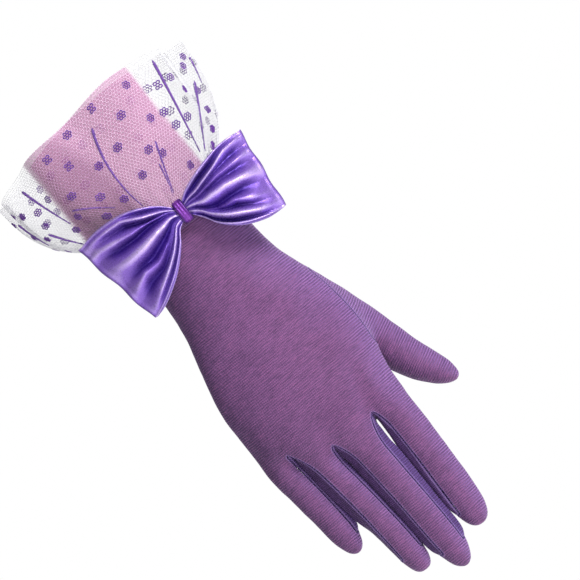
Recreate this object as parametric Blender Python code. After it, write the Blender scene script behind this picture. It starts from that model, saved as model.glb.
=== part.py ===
"""Right-hand dress glove, wrist length, with a flared net cuff and a satin bow.

The glove keeps the form that it has on a hand, with the fingers down. The origin is the middle of the wrist seam, +Z runs
up the forearm, -Y points out of the back of the hand, and +X is the thumb's side. Sizes are in metres, angles in degrees.
"""

import math
from collections import namedtuple

import bmesh
import bpy
from mathutils import Vector

# Cloth
WALL = 0.0010
SEAM_GAP = 0.0003

# Wrist and palm
WRIST_BREADTH = 0.0536
WRIST_DEPTH = 0.0390
PALM_LENGTH = 0.1190
PALM_DEPTH = 0.0265
PALM_SPREAD = 0.0018

# Thumb
THUMB_LENGTH = 0.0400
THUMB_BREADTH = 0.0192
THUMB_DEPTH = 0.0190
THUMB_SPLAY = 14.0
THUMB_CURVE = 25.0
THUMB_REACH = 0.0020
THUMB_DROP = 0.0080

# Net cuff
CUFF_HEIGHT = 0.0680
CUFF_BREADTH = 0.1075
CUFF_FRONT = 0.0300
CUFF_BACK = 0.0340
CUFF_SHIFT = -0.0029
CUFF_LAP = 0.0060
RUFFLE = 0.0042
RIM_DROP = 0.155
RIM_PEAK = 0.20

# Satin bow
BOW_OFFSET = 0.0065
BOW_HEIGHT = 0.0450
BOW_DEPTH = 0.0075
BOW_DRAPE = 0.0040
PLEAT = 0.0017
PLEATS = 2.25
ULNAR_WING = 0.0412
RADIAL_WING = 0.0377
PINCH_HEIGHT = 0.0076
PINCH_DEPTH = 0.0048
KNOT_WIDTH = 0.0046

# Columns of the lofts
FINGER_BACK = 4
FINGER_SIDE = 4
CUFF_COLUMNS = 64
BOW_ROWS = 18
KNOT_COLUMNS = 24

SIDE_ANGLE = 30.0
SEAM_ANGLE = 45.0

# Fingers: taper below 1 makes a blunter tip, the rolls turn the back towards the little finger's side
Finger = namedtuple("Finger", "name length breadth depth taper root_y tip_y root_roll tip_roll dome")
FINGERS = (
    Finger("little", 0.0573, 0.0148, 0.0138, 0.95, 0.0042, 0.0090, -2.0, -2.0, 0.0022),
    Finger("ring", 0.0736, 0.0146, 0.0148, 0.60, 0.0012, 0.0066, -16.0, 4.0, 0.0026),
    Finger("middle", 0.0792, 0.0180, 0.0162, 1.00, -0.0006, 0.0046, 3.0, -4.0, 0.0028),
    Finger("index", 0.0718, 0.0174, 0.0158, 0.75, 0.0000, 0.0042, -6.0, 0.0, 0.0026),
)
MIDDLE = 2

# Gaps between neighbouring fingers, where they leave the palm, at half length and at the tips
Gap = namedtuple("Gap", "name root half tip")
GAPS = (
    Gap("little_ring", 0.0018, 0.0036, 0.0071),
    Gap("ring_middle", 0.0032, 0.0018, 0.0027),
    Gap("middle_index", 0.0021, 0.0016, 0.0029),
)
MIDDLE_LEAN = (0.0050, 0.0060, 0.0065)

# Where the fingers part: place across the knuckles as a share of half their breadth, backs and palms as shares of half
# the palm's depth, and the way down as shares of the palm's length
Web = namedtuple("Web", "name across_back across_palm back palm back_down palm_down")
WEBS = (
    Web("ulnar_edge", -0.968, -0.925, -0.060, 0.880, 0.890, 0.925),
    Web("little_ring", -0.695, -0.590, 0.600, 0.850, 0.955, 0.985),
    Web("ring_middle", -0.197, -0.184, 0.730, 0.840, 1.033, 1.063),
    Web("middle_index", 0.419, 0.412, 0.740, 0.810, 1.025, 1.060),
    Web("radial_edge", 0.815, 0.830, 0.570, 0.640, 0.985, 1.010),
)

# Palm sections, from the wrist seam to the knuckles: breadths as shares of half the knuckles' breadth, depths as shares
# of half the wrist's depth, and how far the section has turned into the knuckle line
Section = namedtuple("Section", "down ulnar radial back palm square knuckle")
PALM_SECTIONS = (
    Section(0.000, None, None, 1.000, 1.000, 2.00, 0.0),
    Section(0.120, None, None, 0.975, 0.975, 2.00, 0.0),
    Section(0.240, 0.700, 0.722, 0.935, 0.950, 2.10, 0.0),
    Section(0.350, 0.727, 0.780, 0.885, 0.950, 2.15, 0.0),
    Section(0.455, 0.785, 0.915, 0.845, 0.960, 2.20, 0.0),
    Section(0.560, 0.870, 0.995, 0.810, 0.945, 2.30, 0.0),
    Section(0.655, 0.950, 1.030, 0.785, 0.910, 2.35, 0.0),
    Section(0.745, 1.003, 1.052, 0.765, 0.860, 2.40, 0.06),
    Section(0.835, 1.020, 1.045, 0.745, 0.800, 2.40, 0.25),
    Section(0.920, 1.015, 0.960, 0.725, 0.745, 2.40, 0.60),
)

# Finger sections: way along, and breadth as a share of the full one; the side strip ends at FOURCHETTE_END
Along = namedtuple("Along", "along breadth seam")
FINGER_SECTIONS = (
    Along(0.165, 1.045, 45.0),
    Along(0.270, 1.020, 45.0),
    Along(0.390, 0.990, 45.0),
    Along(0.520, 0.965, 44.0),
    Along(0.660, 0.930, 42.0),
    Along(0.780, 0.875, 38.0),
    Along(0.870, 0.775, 33.0),
    Along(0.930, 0.620, 36.0),
    Along(0.968, 0.450, 42.0),
    Along(0.989, 0.260, 45.0),
    Along(0.999, 0.080, 45.0),
)
FOURCHETTE_END = 0.870
ROOT_SHARES = (0.34, 0.68)

# The thumb leaves through a hole in the hand panel between these rows and columns of the palm's loft
THUMB_ROWS = (4, 8)
THUMB_COLUMNS = (17, 23)
THUMB_SECTIONS = ((0.00, 1.00), (0.20, 0.97), (0.40, 0.91), (0.58, 0.82), (0.74, 0.70), (0.87, 0.53), (0.955, 0.32), (0.992, 0.14))
THUMB_ROUND = 0.55
THUMB_TURN = 5.0
THUMB_BASE_SHARES = (0.24, 0.50, 0.76)

# Cuff sections: way up, and how far it has spread, come forward, gone back and ruffled
Flare = namedtuple("Flare", "up spread front back ruffle")
CUFF_SECTIONS = (
    Flare(0.02, 0.00, 0.00, 0.00, 0.00),
    Flare(0.10, 0.13, 0.00, 0.06, 0.02),
    Flare(0.20, 0.37, 0.03, 0.20, 0.07),
    Flare(0.32, 0.62, 0.20, 0.42, 0.32),
    Flare(0.48, 0.81, 0.48, 0.64, 0.62),
    Flare(0.67, 0.93, 0.75, 0.84, 0.85),
    Flare(0.85, 0.98, 0.91, 0.95, 0.95),
    Flare(1.00, 1.00, 1.00, 1.00, 1.00),
)
# Flutes round the cuff: how many, their share of the ruffle, and where they start
FLUTES = ((9, 0.62, 20.0), (5, 0.26, 75.0), (14, 0.12, 140.0))

# Wing sections, from the knot to the end fold: upper and lower edges as shares of the bow's height, and the loop's
# depth before and behind its middle and the pleats' depth as shares of the full ones
Wing = namedtuple("Wing", "along ulnar_top ulnar_bottom radial_top radial_bottom front back pleat")
WING_SECTIONS = (
    Wing(0.10, 0.185, 0.130, 0.148, 0.180, 0.46, 0.86, 0.10),
    Wing(0.20, 0.258, 0.240, 0.187, 0.315, 0.68, 0.74, 0.45),
    Wing(0.35, 0.328, 0.370, 0.230, 0.435, 0.92, 0.64, 0.90),
    Wing(0.50, 0.367, 0.474, 0.262, 0.512, 1.00, 0.62, 1.00),
    Wing(0.70, 0.384, 0.577, 0.288, 0.572, 0.93, 0.62, 0.85),
    Wing(0.85, 0.372, 0.633, 0.288, 0.591, 0.74, 0.58, 0.60),
    Wing(0.955, 0.344, 0.655, 0.275, 0.593, 0.46, 0.40, 0.42),
)
END_FOLD = Wing(1.00, 0.330, 0.660, 0.268, 0.592, 0.06, -0.06, 0.30)
ULNAR_SKEW = 0.095
RADIAL_SKEW = 0.065
EDGE_FLAT = 0.35

# Paint, as linear colour and roughness
MATERIALS = {
    "glove_knit": ((0.165, 0.065, 0.245), 0.72),
    "fourchette_knit": ((0.140, 0.060, 0.270), 0.72),
    "net": ((0.480, 0.230, 0.560), 0.60),
    "satin": ((0.180, 0.075, 0.520), 0.30),
    "knot_satin": ((0.200, 0.045, 0.380), 0.38),
}

HAND, THUMB = 0, 4
TAG = "panel"


def mix(a, b, share):
    return a + (b - a) * share


def through(share, knots):
    """A smooth value along (share, value) knots: a quadratic through three of them."""
    (s0, v0), (s1, v1), (s2, v2) = knots
    first = (share - s1) * (share - s2) / ((s0 - s1) * (s0 - s2))
    second = (share - s0) * (share - s2) / ((s1 - s0) * (s1 - s2))
    third = (share - s0) * (share - s1) / ((s2 - s0) * (s2 - s1))
    return v0 * first + v1 * second + v2 * third


def oval(degrees, half_x, half_y, square=2.0):
    """A point of a superellipse, with -Y at 90 degrees and +X at 0."""
    c, s = math.cos(math.radians(degrees)), math.sin(math.radians(degrees))
    power = 2.0 / square
    return Vector((math.copysign(abs(c) ** power * half_x, c), -math.copysign(abs(s) ** power * half_y, s)))


def spaced(start, stop, count):
    """count values from start, leaving out stop."""
    return [mix(start, stop, i / count) for i in range(count)]


# Fingers


def finger_x(index, share):
    """How far across a finger's middle line lies: neighbours stand off the middle finger by their breadths and gaps."""
    knots = ((0.22, 0), (0.55, 1), (1.0, 2))
    places = []
    for along, column in knots:
        x = MIDDLE_LEAN[column]
        narrowing = (1.0, 0.955, 0.80)[column]
        step = 1 if index > MIDDLE else -1
        for other in range(MIDDLE, index, step):
            pair = FINGERS[other].breadth + FINGERS[other + step].breadth
            x += step * (pair / 2 * narrowing + GAPS[min(other, other + step)][1 + column])
        places.append((along, x))
    return through(share, places)


def knuckle_half():
    """Half the breadth over the four fingers where they leave the palm."""
    total = sum(f.breadth for f in FINGERS) + sum(g.root for g in GAPS)
    return total / 2 + PALM_SPREAD


def seam_angles(seam):
    """Angles round a finger: back from the little finger's side, side, palm, side."""
    return (
        spaced(180 - seam, seam, FINGER_BACK)
        + spaced(seam, -seam, FINGER_SIDE)
        + spaced(-seam, seam - 180, FINGER_BACK)
        + spaced(seam - 180, -180 - seam, FINGER_SIDE)
    )


def web_points(web):
    """The back and palm ends of the line where two fingers part."""
    half = knuckle_half()
    back = Vector((web.across_back * half, -web.back * PALM_DEPTH / 2, -web.back_down * PALM_LENGTH))
    palm = Vector((web.across_palm * half, web.palm * PALM_DEPTH / 2, -web.palm_down * PALM_LENGTH))
    return back, palm


def arched(start, end, height, count, outward):
    """Points from start, leaving out end, along a low arch that stands off the straight line between them."""
    line = end - start
    off = Vector((line.y, -line.x, 0)).normalized()
    off *= height if off.dot(outward) > 0 else -height
    return [mix(start, end, i / count) + off * math.sin(math.pi * i / count) for i in range(count)]


def knuckle_ring():
    """The palm's last ring: four knuckles over the back, the index finger's side, four pads and the outer side."""
    ends = [web_points(web) for web in WEBS]
    ring = []
    for finger, (start, _), (end, _) in zip(FINGERS, ends, ends[1:]):
        ring += arched(start, end, finger.dome, FINGER_BACK, Vector((0, -1, 0)))
    ring += arched(ends[-1][0], ends[-1][1], knuckle_half() * 0.085, FINGER_SIDE, Vector((1, 0, 0)))
    for finger, (_, start), (_, end) in zip(reversed(FINGERS), reversed(ends), list(reversed(ends))[1:]):
        ring += arched(start, end, finger.dome * 0.8, FINGER_BACK, Vector((0, 1, 0)))
    ring += arched(ends[0][1], ends[0][0], knuckle_half() * 0.075, FINGER_SIDE, Vector((-1, 0, 0)))
    return ring


def palm_angles():
    across = FINGER_BACK * len(FINGERS)
    return (
        spaced(180 - SIDE_ANGLE, SIDE_ANGLE, across)
        + spaced(SIDE_ANGLE, -SIDE_ANGLE, FINGER_SIDE)
        + spaced(-SIDE_ANGLE, SIDE_ANGLE - 180, across)
        + spaced(SIDE_ANGLE - 180, -180 - SIDE_ANGLE, FINGER_SIDE)
    )


def palm_ring(section, knuckles):
    """One ring of the palm, partly turned into the knuckle ring."""
    half = knuckle_half()
    ulnar = WRIST_BREADTH / 2 if section.ulnar is None else section.ulnar * half
    radial = WRIST_BREADTH / 2 if section.radial is None else section.radial * half
    ring = []
    for angle, knuckle in zip(palm_angles(), knuckles):
        depth = (section.back if math.sin(math.radians(angle)) > 0 else section.palm) * WRIST_DEPTH / 2
        flat = oval(angle, (radial + ulnar) / 2, depth, section.square)
        flat.x += (radial - ulnar) / 2
        x = mix(flat.x, knuckle.x, section.knuckle)
        y = mix(flat.y, knuckle.y, section.knuckle)
        ring.append(Vector((x, y, section.down * knuckle.z)))
    return ring


def finger_ring(index, base_z, row):
    finger = FINGERS[index]
    curl = mix(finger.root_y, finger.tip_y, row.along**1.6)
    roll = mix(finger.root_roll, finger.tip_roll, row.along)
    share = row.breadth ** finger.taper / 2
    ring = []
    for angle in seam_angles(row.seam):
        flat = oval(angle + roll, finger.breadth * share, finger.depth * share)
        ring.append(Vector((finger_x(index, row.along) + flat.x, curl + flat.y, base_z - finger.length * row.along)))
    return ring


# The glove's skin


def carried(bm, ring, points):
    """Extrude a closed ring of vertices on to the next section. Gives the new ring and the faces between, in order.

    The vertices' vector layer holds the way into the wall where it is set by hand, and nothing elsewhere.
    """
    count = len(ring)
    skin = bm.verts.layers.float_vector[0]
    edges = [bm.edges.get((ring[i], ring[(i + 1) % count])) for i in range(count)]
    made = bmesh.ops.extrude_edge_only(bm, edges=edges)["geom"]
    fresh = {item for item in made if isinstance(item, bmesh.types.BMVert)}
    following = []
    for vertex, point in zip(ring, points):
        after = next(e.other_vert(vertex) for e in vertex.link_edges if e.other_vert(vertex) in fresh)
        after.co = point
        after[skin] = Vector()
        following.append(after)
    faces = []
    for i in range(count):
        pair = {following[i], following[(i + 1) % count]}
        faces.append(next(f for f in following[i].link_faces if pair <= set(f.verts)))
    return following, faces


def blank():
    """An empty mesh whose vertices can hold the way into the wall."""
    bm = bmesh.new()
    bm.verts.layers.float_vector.new("skin")
    return bm


def first_ring(bm, points):
    """A closed ring of vertices and edges to start a loft from."""
    ring = [bm.verts.new(point) for point in points]
    for i, vertex in enumerate(ring):
        bm.edges.new((vertex, ring[(i + 1) % len(ring)]))
    return ring


def close_tip(bm, ring):
    bmesh.ops.edgeloop_fill(bm, edges=[bm.edges.get((ring[i - 1], ring[i])) for i in range(len(ring))])


def web_line(bm, ring, web, back_column, palm_column):
    """The line where two fingers part, from the back to the palm, as a run of new vertices between two of the ring."""
    back, palm = ring[back_column], ring[palm_column]
    inner = []
    for i in range(1, FINGER_SIDE):
        share = i / FINGER_SIDE
        point = mix(back.co, palm.co, math.sin(math.pi / 2 * share))
        point.y = mix(back.co.y, palm.co.y, share)
        inner.append(bm.verts.new(point))
    run = [back, *inner, palm]
    for one, other in zip(run, run[1:]):
        bm.edges.new((one, other))
    skin = bm.verts.layers.float_vector[0]
    for i, vertex in enumerate(run):
        turn = math.pi * i / FINGER_SIDE
        vertex[skin] = Vector((0, -math.cos(turn), -0.6 - 0.4 * math.sin(turn)))
    return inner


def add_fingers(bm, ring, tag):
    """Part the knuckle ring into four and run a finger down from each. The side strips get their own tags."""
    across = FINGER_BACK * len(FINGERS)
    columns = len(ring)
    radial_side = ring[across + 1 : across + FINGER_SIDE]
    ulnar_side = ring[columns - FINGER_SIDE + 1 :]
    webs = [list(reversed(ulnar_side))]
    for number in range(1, len(FINGERS)):
        back_column = number * FINGER_BACK
        webs.append(web_line(bm, ring, WEBS[number], back_column, across * 2 + FINGER_SIDE - back_column))
    webs.append(radial_side)
    for index, finger in enumerate(FINGERS):
        start = index * FINGER_BACK
        stop = start + FINGER_BACK
        palm_start = across * 2 + FINGER_SIDE - stop
        loop = ring[start : stop + 1] + webs[index + 1]
        loop += ring[palm_start : palm_start + FINGER_BACK] + [ring[(palm_start + FINGER_BACK) % columns]]
        loop += list(reversed(webs[index]))
        base = [vertex.co.copy() for vertex in loop]
        base_z = sum(point.z for point in base) / len(base)
        full = finger_ring(index, base_z, FINGER_SECTIONS[0])
        sections = []
        for share in ROOT_SHARES:
            points = [mix(b, f, math.sin(math.pi / 2 * share)) for b, f in zip(base, full)]
            for point, b, f in zip(points, base, full):
                point.z = mix(b.z, f.z, share)
            sections.append((share * FINGER_SECTIONS[0].along, points))
        sections += [(row.along, finger_ring(index, base_z, row)) for row in FINGER_SECTIONS]
        for along, points in sections:
            loop, faces = carried(bm, loop, points)
            for face in faces:
                face[tag] = HAND
            if along > FOURCHETTE_END + 1e-6:
                continue
            for side in range(FINGER_SIDE):
                if index + 1 < len(FINGERS):
                    faces[FINGER_BACK + side][tag] = index + 1
                if index > 0:
                    faces[2 * FINGER_BACK + FINGER_SIDE + side][tag] = index
        close_tip(bm, loop)


def thumb_axis():
    """Middle points and directions along the thumb, which turns outwards towards its tip."""
    steps = 40
    point = Vector((knuckle_half() + THUMB_REACH, WRIST_DEPTH / 2 + WALL, -PALM_LENGTH * PALM_SECTIONS[THUMB_ROWS[1]].down - WALL))
    axis = []
    for i in range(steps + 1):
        share = i / steps
        turn = math.radians(THUMB_SPLAY + THUMB_CURVE * share)
        heading = Vector((math.sin(turn), 0.16 * (1 - share), -math.cos(turn))).normalized()
        axis.append((point.copy(), heading))
        point += heading * THUMB_LENGTH / steps
    return axis


def thumb_ring(axis, share, breadth, angles):
    middle, heading = axis[round(share * (len(axis) - 1))]
    outward = Vector((-heading.z, 0, heading.x)).normalized()
    upward = heading.cross(outward)
    upward *= -1 if upward.y > 0 else 1
    ring = []
    for angle in angles:
        a = math.radians(angle)
        flat = outward * math.cos(a) * THUMB_BREADTH / 2 + upward * math.sin(a) * THUMB_DEPTH / 2
        ring.append(middle + flat * breadth)
    return ring


def add_thumb(bm, rows, tag):
    """Cut the thumb's hole in the palm and run the thumb out of it."""
    top, bottom = THUMB_ROWS
    left, right = THUMB_COLUMNS
    hole = {f for r in range(top, bottom) for c in range(left, right) for f in rows[r][c].link_faces if rows[r + 1][c + 1] in f.verts}
    loop = [rows[top][c] for c in range(left, right)] + [rows[r][right] for r in range(top, bottom)]
    loop += [rows[bottom][c] for c in range(right, left, -1)] + [rows[r][left] for r in range(bottom, top, -1)]
    bmesh.ops.delete(bm, geom=list(hole), context="FACES")
    across, along = right - left, bottom - top
    for corner in (0, across, across + along, 2 * across + along):
        chord = (loop[corner - 1].co + loop[corner + 1].co) / 2
        loop[corner].co = mix(loop[corner].co, chord, THUMB_ROUND)
    angles = []
    for quarter, count in enumerate((across, along, across, along)):
        start = THUMB_TURN - 90 * quarter
        angles += spaced(start, start - 90, count)
    axis = thumb_axis()
    full = thumb_ring(axis, 0, 1, angles)
    base = [vertex.co.copy() for vertex in loop]
    sections = []
    for share in THUMB_BASE_SHARES:
        points = []
        for start, end in zip(base, full):
            pull = end - axis[0][1] * (end - start).length * 0.45
            points.append(start * (1 - share) ** 2 + pull * 2 * share * (1 - share) + end * share**2)
        sections.append(points)
    sections += [thumb_ring(axis, share, breadth, angles) for share, breadth in THUMB_SECTIONS]
    before = set(bm.faces)
    for points in sections:
        loop, _ = carried(bm, loop, points)
    close_tip(bm, loop)
    for face in set(bm.faces) - before:
        face[tag] = THUMB


def glove_skin():
    """The whole outer skin of the hand, tagged by panel, with a wall direction on every vertex."""
    bm = blank()
    tag = bm.faces.layers.int.new(TAG)
    knuckles = knuckle_ring()
    rows = [first_ring(bm, palm_ring(PALM_SECTIONS[0], knuckles))]
    for section in PALM_SECTIONS[1:]:
        rows.append(carried(bm, rows[-1], palm_ring(section, knuckles))[0])
    rows.append(carried(bm, rows[-1], knuckles)[0])
    add_fingers(bm, rows[-1], tag)
    add_thumb(bm, rows, tag)
    set_skin(bm, Vector((0, 0, -PALM_LENGTH / 2)))
    return bm


def set_skin(bm, inside):
    """Turn the faces out, away from a point inside, and keep each vertex's way into the wall."""
    bmesh.ops.recalc_face_normals(bm, faces=bm.faces)
    nearest = min(bm.faces, key=lambda f: (f.calc_center_median() - inside).length)
    if nearest.normal.dot(nearest.calc_center_median() - inside) < 0:
        bmesh.ops.reverse_faces(bm, faces=bm.faces)
    bm.normal_update()
    skin = bm.verts.layers.float_vector[0]
    for vertex in bm.verts:
        if vertex[skin].length < 0.5:
            vertex[skin] = vertex.normal * min(vertex.calc_shell_factor(), 1.6)


# Solids


def pull_back_edges(bm, distance):
    """Draw a panel's open edges in along its own surface, so that sewn panels keep a small gap."""
    shifts = {}
    for vertex in bm.verts:
        inward = []
        for edge in vertex.link_edges:
            if edge.is_boundary:
                line = (edge.verts[1].co - edge.verts[0].co).normalized()
                to_face = edge.link_faces[0].calc_center_median() - vertex.co
                inward.append((to_face - line * to_face.dot(line)).normalized())
        if inward:
            total = inward[0] + inward[-1]
            shifts[vertex] = total / max(1 + inward[0].dot(inward[-1]), 0.18)
    for vertex, shift in shifts.items():
        vertex.co += shift * distance


def thicken(bm, wall):
    """Close an open skin into a wall, by a second skin inside it. The narrow faces along the edges are split from their
    upper outer corner, so that two sewn panels split theirs the same way and keep their gap.
    """
    skin = bm.verts.layers.float_vector[0]
    outer = set(bm.verts)
    made = bmesh.ops.extrude_face_region(bm, geom=bm.faces[:], use_keep_orig=True)["geom"]
    for item in made:
        if isinstance(item, bmesh.types.BMVert):
            item.co -= item[skin] * wall
    bmesh.ops.recalc_face_normals(bm, faces=bm.faces)
    for face in bm.faces[:]:
        rim = [vertex for vertex in face.verts if vertex in outer]
        if len(rim) == 2 and len(face.verts) == 4:
            upper, lower = sorted(rim, key=lambda vertex: vertex.co.z, reverse=True)
            across = next(v for v in face.verts if v not in rim and bm.edges.get((v, lower)))
            bmesh.utils.face_split(face, upper, across)


def paint(name):
    material = bpy.data.materials.get(name)
    if material is None:
        colour, roughness = MATERIALS[name]
        material = bpy.data.materials.new(name)
        material.use_nodes = True
        shader = material.node_tree.nodes["Principled BSDF"]
        shader.inputs["Base Color"].default_value = (*colour, 1)
        shader.inputs["Roughness"].default_value = roughness
        shader.inputs["Metallic"].default_value = 0.0
    return material


def place(bm, name, material):
    mesh = bpy.data.meshes.new(name)
    bm.to_mesh(mesh)
    bm.free()
    mesh.materials.append(paint(material))
    mesh.shade_smooth()
    mesh.set_sharp_from_angle(angle=math.radians(50))
    obj = bpy.data.objects.new(name, mesh)
    bpy.context.scene.collection.objects.link(obj)
    return obj


def make_panels():
    """Cut the glove's skin into the pieces that it is sewn from."""
    whole = glove_skin()
    names = {
        HAND: ("hand_panel", "glove_knit"),
        1: ("fourchette_ring_little", "fourchette_knit"),
        2: ("fourchette_middle_ring", "fourchette_knit"),
        3: ("fourchette_index_middle", "fourchette_knit"),
        THUMB: ("thumb_panel", "glove_knit"),
    }
    for number, (name, material) in names.items():
        panel = whole.copy()
        tag = panel.faces.layers.int[TAG]
        bmesh.ops.delete(panel, geom=[f for f in panel.faces if f[tag] != number], context="FACES")
        pull_back_edges(panel, SEAM_GAP / 2)
        thicken(panel, WALL)
        place(panel, name, material)
    whole.free()


def ruffle(angle):
    return sum(part * math.cos(math.radians(count * angle + start)) for count, part, start in FLUTES)


def cuff_ring(flare):
    lap = SEAM_GAP + WALL
    half, depth = WRIST_BREADTH / 2 + lap, WRIST_DEPTH / 2 + lap
    ring = []
    for angle in spaced(0, 360, CUFF_COLUMNS):
        c, s = math.cos(math.radians(angle)), math.sin(math.radians(angle))
        wave = ruffle(angle) * RUFFLE * flare.ruffle
        reach = CUFF_FRONT if s > 0 else CUFF_BACK
        forward = flare.front if s > 0 else flare.back
        x = c * (mix(half, CUFF_BREADTH / 2, flare.spread) + wave) + CUFF_SHIFT * flare.spread
        y = -s * (mix(depth, reach, forward) + wave)
        drop = RIM_DROP * (c - RIM_PEAK) ** 2 * flare.spread
        ring.append(Vector((x, y, flare.up * CUFF_HEIGHT * (1 - drop))))
    return ring


def make_cuff():
    """The gathered net, lapped over the hand panel at the wrist and flared to a ruffled edge."""
    bm = blank()
    hem = [Vector((point.x, point.y, -CUFF_LAP)) for point in cuff_ring(CUFF_SECTIONS[0])]
    ring = first_ring(bm, hem)
    for flare in CUFF_SECTIONS:
        ring, _ = carried(bm, ring, cuff_ring(flare))
    set_skin(bm, Vector((0, 0, CUFF_HEIGHT / 2)))
    thicken(bm, WALL)
    return place(bm, "net_cuff", "net")


def knot_place():
    """The middle of the bow's pinch, which stands off the cuff's hem by the knot's wall."""
    lap = SEAM_GAP + WALL
    near = BOW_OFFSET - KNOT_WIDTH / 2
    front = (WRIST_DEPTH / 2 + lap) * math.sqrt(1 - (near / (WRIST_BREADTH / 2 + lap)) ** 2)
    return Vector((BOW_OFFSET, -(front + SEAM_GAP + knot_half()[1]), 0))


def knot_half():
    """Half the knot's height and depth outside: the pinch, room round it and the wall."""
    room = SEAM_GAP * 1.7
    return PINCH_HEIGHT / 2 + 2 * room / 1.7 + WALL, PINCH_DEPTH / 2 + room + WALL


def bow_point(middle, side, row, h, front):
    """A point of the bow's loop: side is -1 or 1 for the wing, h runs from -1 at the lower edge to 1 at the upper one."""
    share = (h + 1) / 2
    if side < 0:
        top, bottom, length, skew = row.ulnar_top, row.ulnar_bottom, ULNAR_WING, ULNAR_SKEW
    else:
        top, bottom, length, skew = row.radial_top, row.radial_bottom, RADIAL_WING, RADIAL_SKEW
    x = middle.x + side * (KNOT_WIDTH / 2 + SEAM_GAP + length * row.along * (1 + skew * h))
    z = middle.z + BOW_HEIGHT * mix(-bottom, top, share)
    flat = 1 - EDGE_FLAT * h * h
    pleat = PLEAT * row.pleat * math.cos(math.pi * PLEATS * (h + 0.08 * side))
    drape = BOW_DRAPE * row.along**2.2
    if front:
        y = middle.y + drape - BOW_DEPTH * row.front * flat - pleat
    else:
        y = middle.y + drape + PINCH_DEPTH / 2 * row.back * flat + pleat * 0.3
    return Vector((x, y, z))


def bow_ring(middle, h):
    """The loop at one height: the front from the little finger's side to the thumb's, and the back again."""
    pinch = [PINCH_HEIGHT / 2 * h, PINCH_DEPTH / 2 * (1 - EDGE_FLAT * h * h)]
    half = KNOT_WIDTH / 2 + SEAM_GAP
    outward = list(WING_SECTIONS)
    inward = list(reversed(WING_SECTIONS))
    ring = [bow_point(middle, -1, END_FOLD, h, True)]
    ring += [bow_point(middle, -1, row, h, True) for row in inward]
    ring += [Vector((middle.x + side * half, middle.y - pinch[1], middle.z + pinch[0])) for side in (-1, 1)]
    ring += [bow_point(middle, 1, row, h, True) for row in outward]
    ring += [bow_point(middle, 1, END_FOLD, h, True)]
    ring += [bow_point(middle, 1, row, h, False) for row in inward]
    ring += [Vector((middle.x + side * half, middle.y + pinch[1], middle.z + pinch[0])) for side in (1, -1)]
    ring += [bow_point(middle, -1, row, h, False) for row in outward]
    return ring


def make_bow():
    """One band of satin folded to a flat loop, pinched in the middle and open along its upper and lower edges."""
    middle = knot_place()
    bm = blank()
    ring = first_ring(bm, bow_ring(middle, -1))
    for i in range(1, BOW_ROWS + 1):
        ring, _ = carried(bm, ring, bow_ring(middle, -1 + 2 * i / BOW_ROWS))
    set_skin(bm, middle)
    thicken(bm, WALL)
    return place(bm, "satin_bow", "satin")


def make_knot():
    """The ribbon wrapped round the pinch: a short, slightly swollen sleeve."""
    middle = knot_place()
    half_height, half_depth = knot_half()
    bm = blank()
    ring = None
    for across, swell in ((-1, 1.0), (-0.4, 1.05), (0.4, 1.05), (1, 1.0)):
        points = []
        for angle in spaced(0, 360, KNOT_COLUMNS):
            flat = oval(angle, half_height * swell, half_depth, 2.5)
            points.append(middle + Vector((across * KNOT_WIDTH / 2, flat.y, flat.x)))
        ring = first_ring(bm, points) if ring is None else carried(bm, ring, points)[0]
    set_skin(bm, middle)
    thicken(bm, WALL)
    return place(bm, "bow_knot", "knot_satin")


def main():
    for obj in list(bpy.data.objects):
        bpy.data.objects.remove(obj)
    make_panels()
    make_cuff()
    make_bow()
    make_knot()


main()
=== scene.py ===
"""Looks of the right-hand dress glove: knit hand, seams and stitches, dotted net cuff and satin bow.

Metres, in the CAD's frame: +Z from the wrist seam up to the cuff's rim, -Y out of the back of the hand, +X on
the thumb's side, and the origin in the middle of the wrist seam. The tables of sizes repeat the part's own.
"""

import math
import random
from collections import namedtuple

import bmesh
import bpy
from mathutils import Matrix, Vector, noise
from mathutils.bvhtree import BVHTree
from mathutils.kdtree import KDTree


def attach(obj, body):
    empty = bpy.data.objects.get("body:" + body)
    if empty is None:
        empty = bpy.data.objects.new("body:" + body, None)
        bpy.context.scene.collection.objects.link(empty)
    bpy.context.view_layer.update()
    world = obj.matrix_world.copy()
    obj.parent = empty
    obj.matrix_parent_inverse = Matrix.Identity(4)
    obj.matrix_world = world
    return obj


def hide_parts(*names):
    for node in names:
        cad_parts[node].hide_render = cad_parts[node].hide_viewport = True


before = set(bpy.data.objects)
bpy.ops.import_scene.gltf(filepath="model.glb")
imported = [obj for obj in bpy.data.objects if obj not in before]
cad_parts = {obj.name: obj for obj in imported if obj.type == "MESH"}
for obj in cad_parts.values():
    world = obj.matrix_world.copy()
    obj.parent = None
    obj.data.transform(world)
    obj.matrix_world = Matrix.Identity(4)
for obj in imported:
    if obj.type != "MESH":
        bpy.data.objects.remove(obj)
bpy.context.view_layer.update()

# Sizes that the part has too

WALL = 0.0010
SEAM_GAP = 0.0003
WRIST_BREADTH = 0.0536
WRIST_DEPTH = 0.0390
PALM_LENGTH = 0.1190
PALM_DEPTH = 0.0265
PALM_SPREAD = 0.0018

THUMB_LENGTH = 0.0400
THUMB_BREADTH = 0.0192
THUMB_DEPTH = 0.0190
THUMB_SPLAY = 14.0
THUMB_CURVE = 25.0
THUMB_REACH = 0.0020

CUFF_HEIGHT = 0.0680
CUFF_BREADTH = 0.1075
CUFF_FRONT = 0.0300
CUFF_BACK = 0.0340
CUFF_SHIFT = -0.0029
CUFF_LAP = 0.0060
RUFFLE = 0.0042
RIM_DROP = 0.155
RIM_PEAK = 0.20

BOW_OFFSET = 0.0065
BOW_HEIGHT = 0.0450
BOW_DEPTH = 0.0075
BOW_DRAPE = 0.0040
ULNAR_WING = 0.0412
RADIAL_WING = 0.0377
PINCH_HEIGHT = 0.0076
PINCH_DEPTH = 0.0048
KNOT_WIDTH = 0.0046

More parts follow.
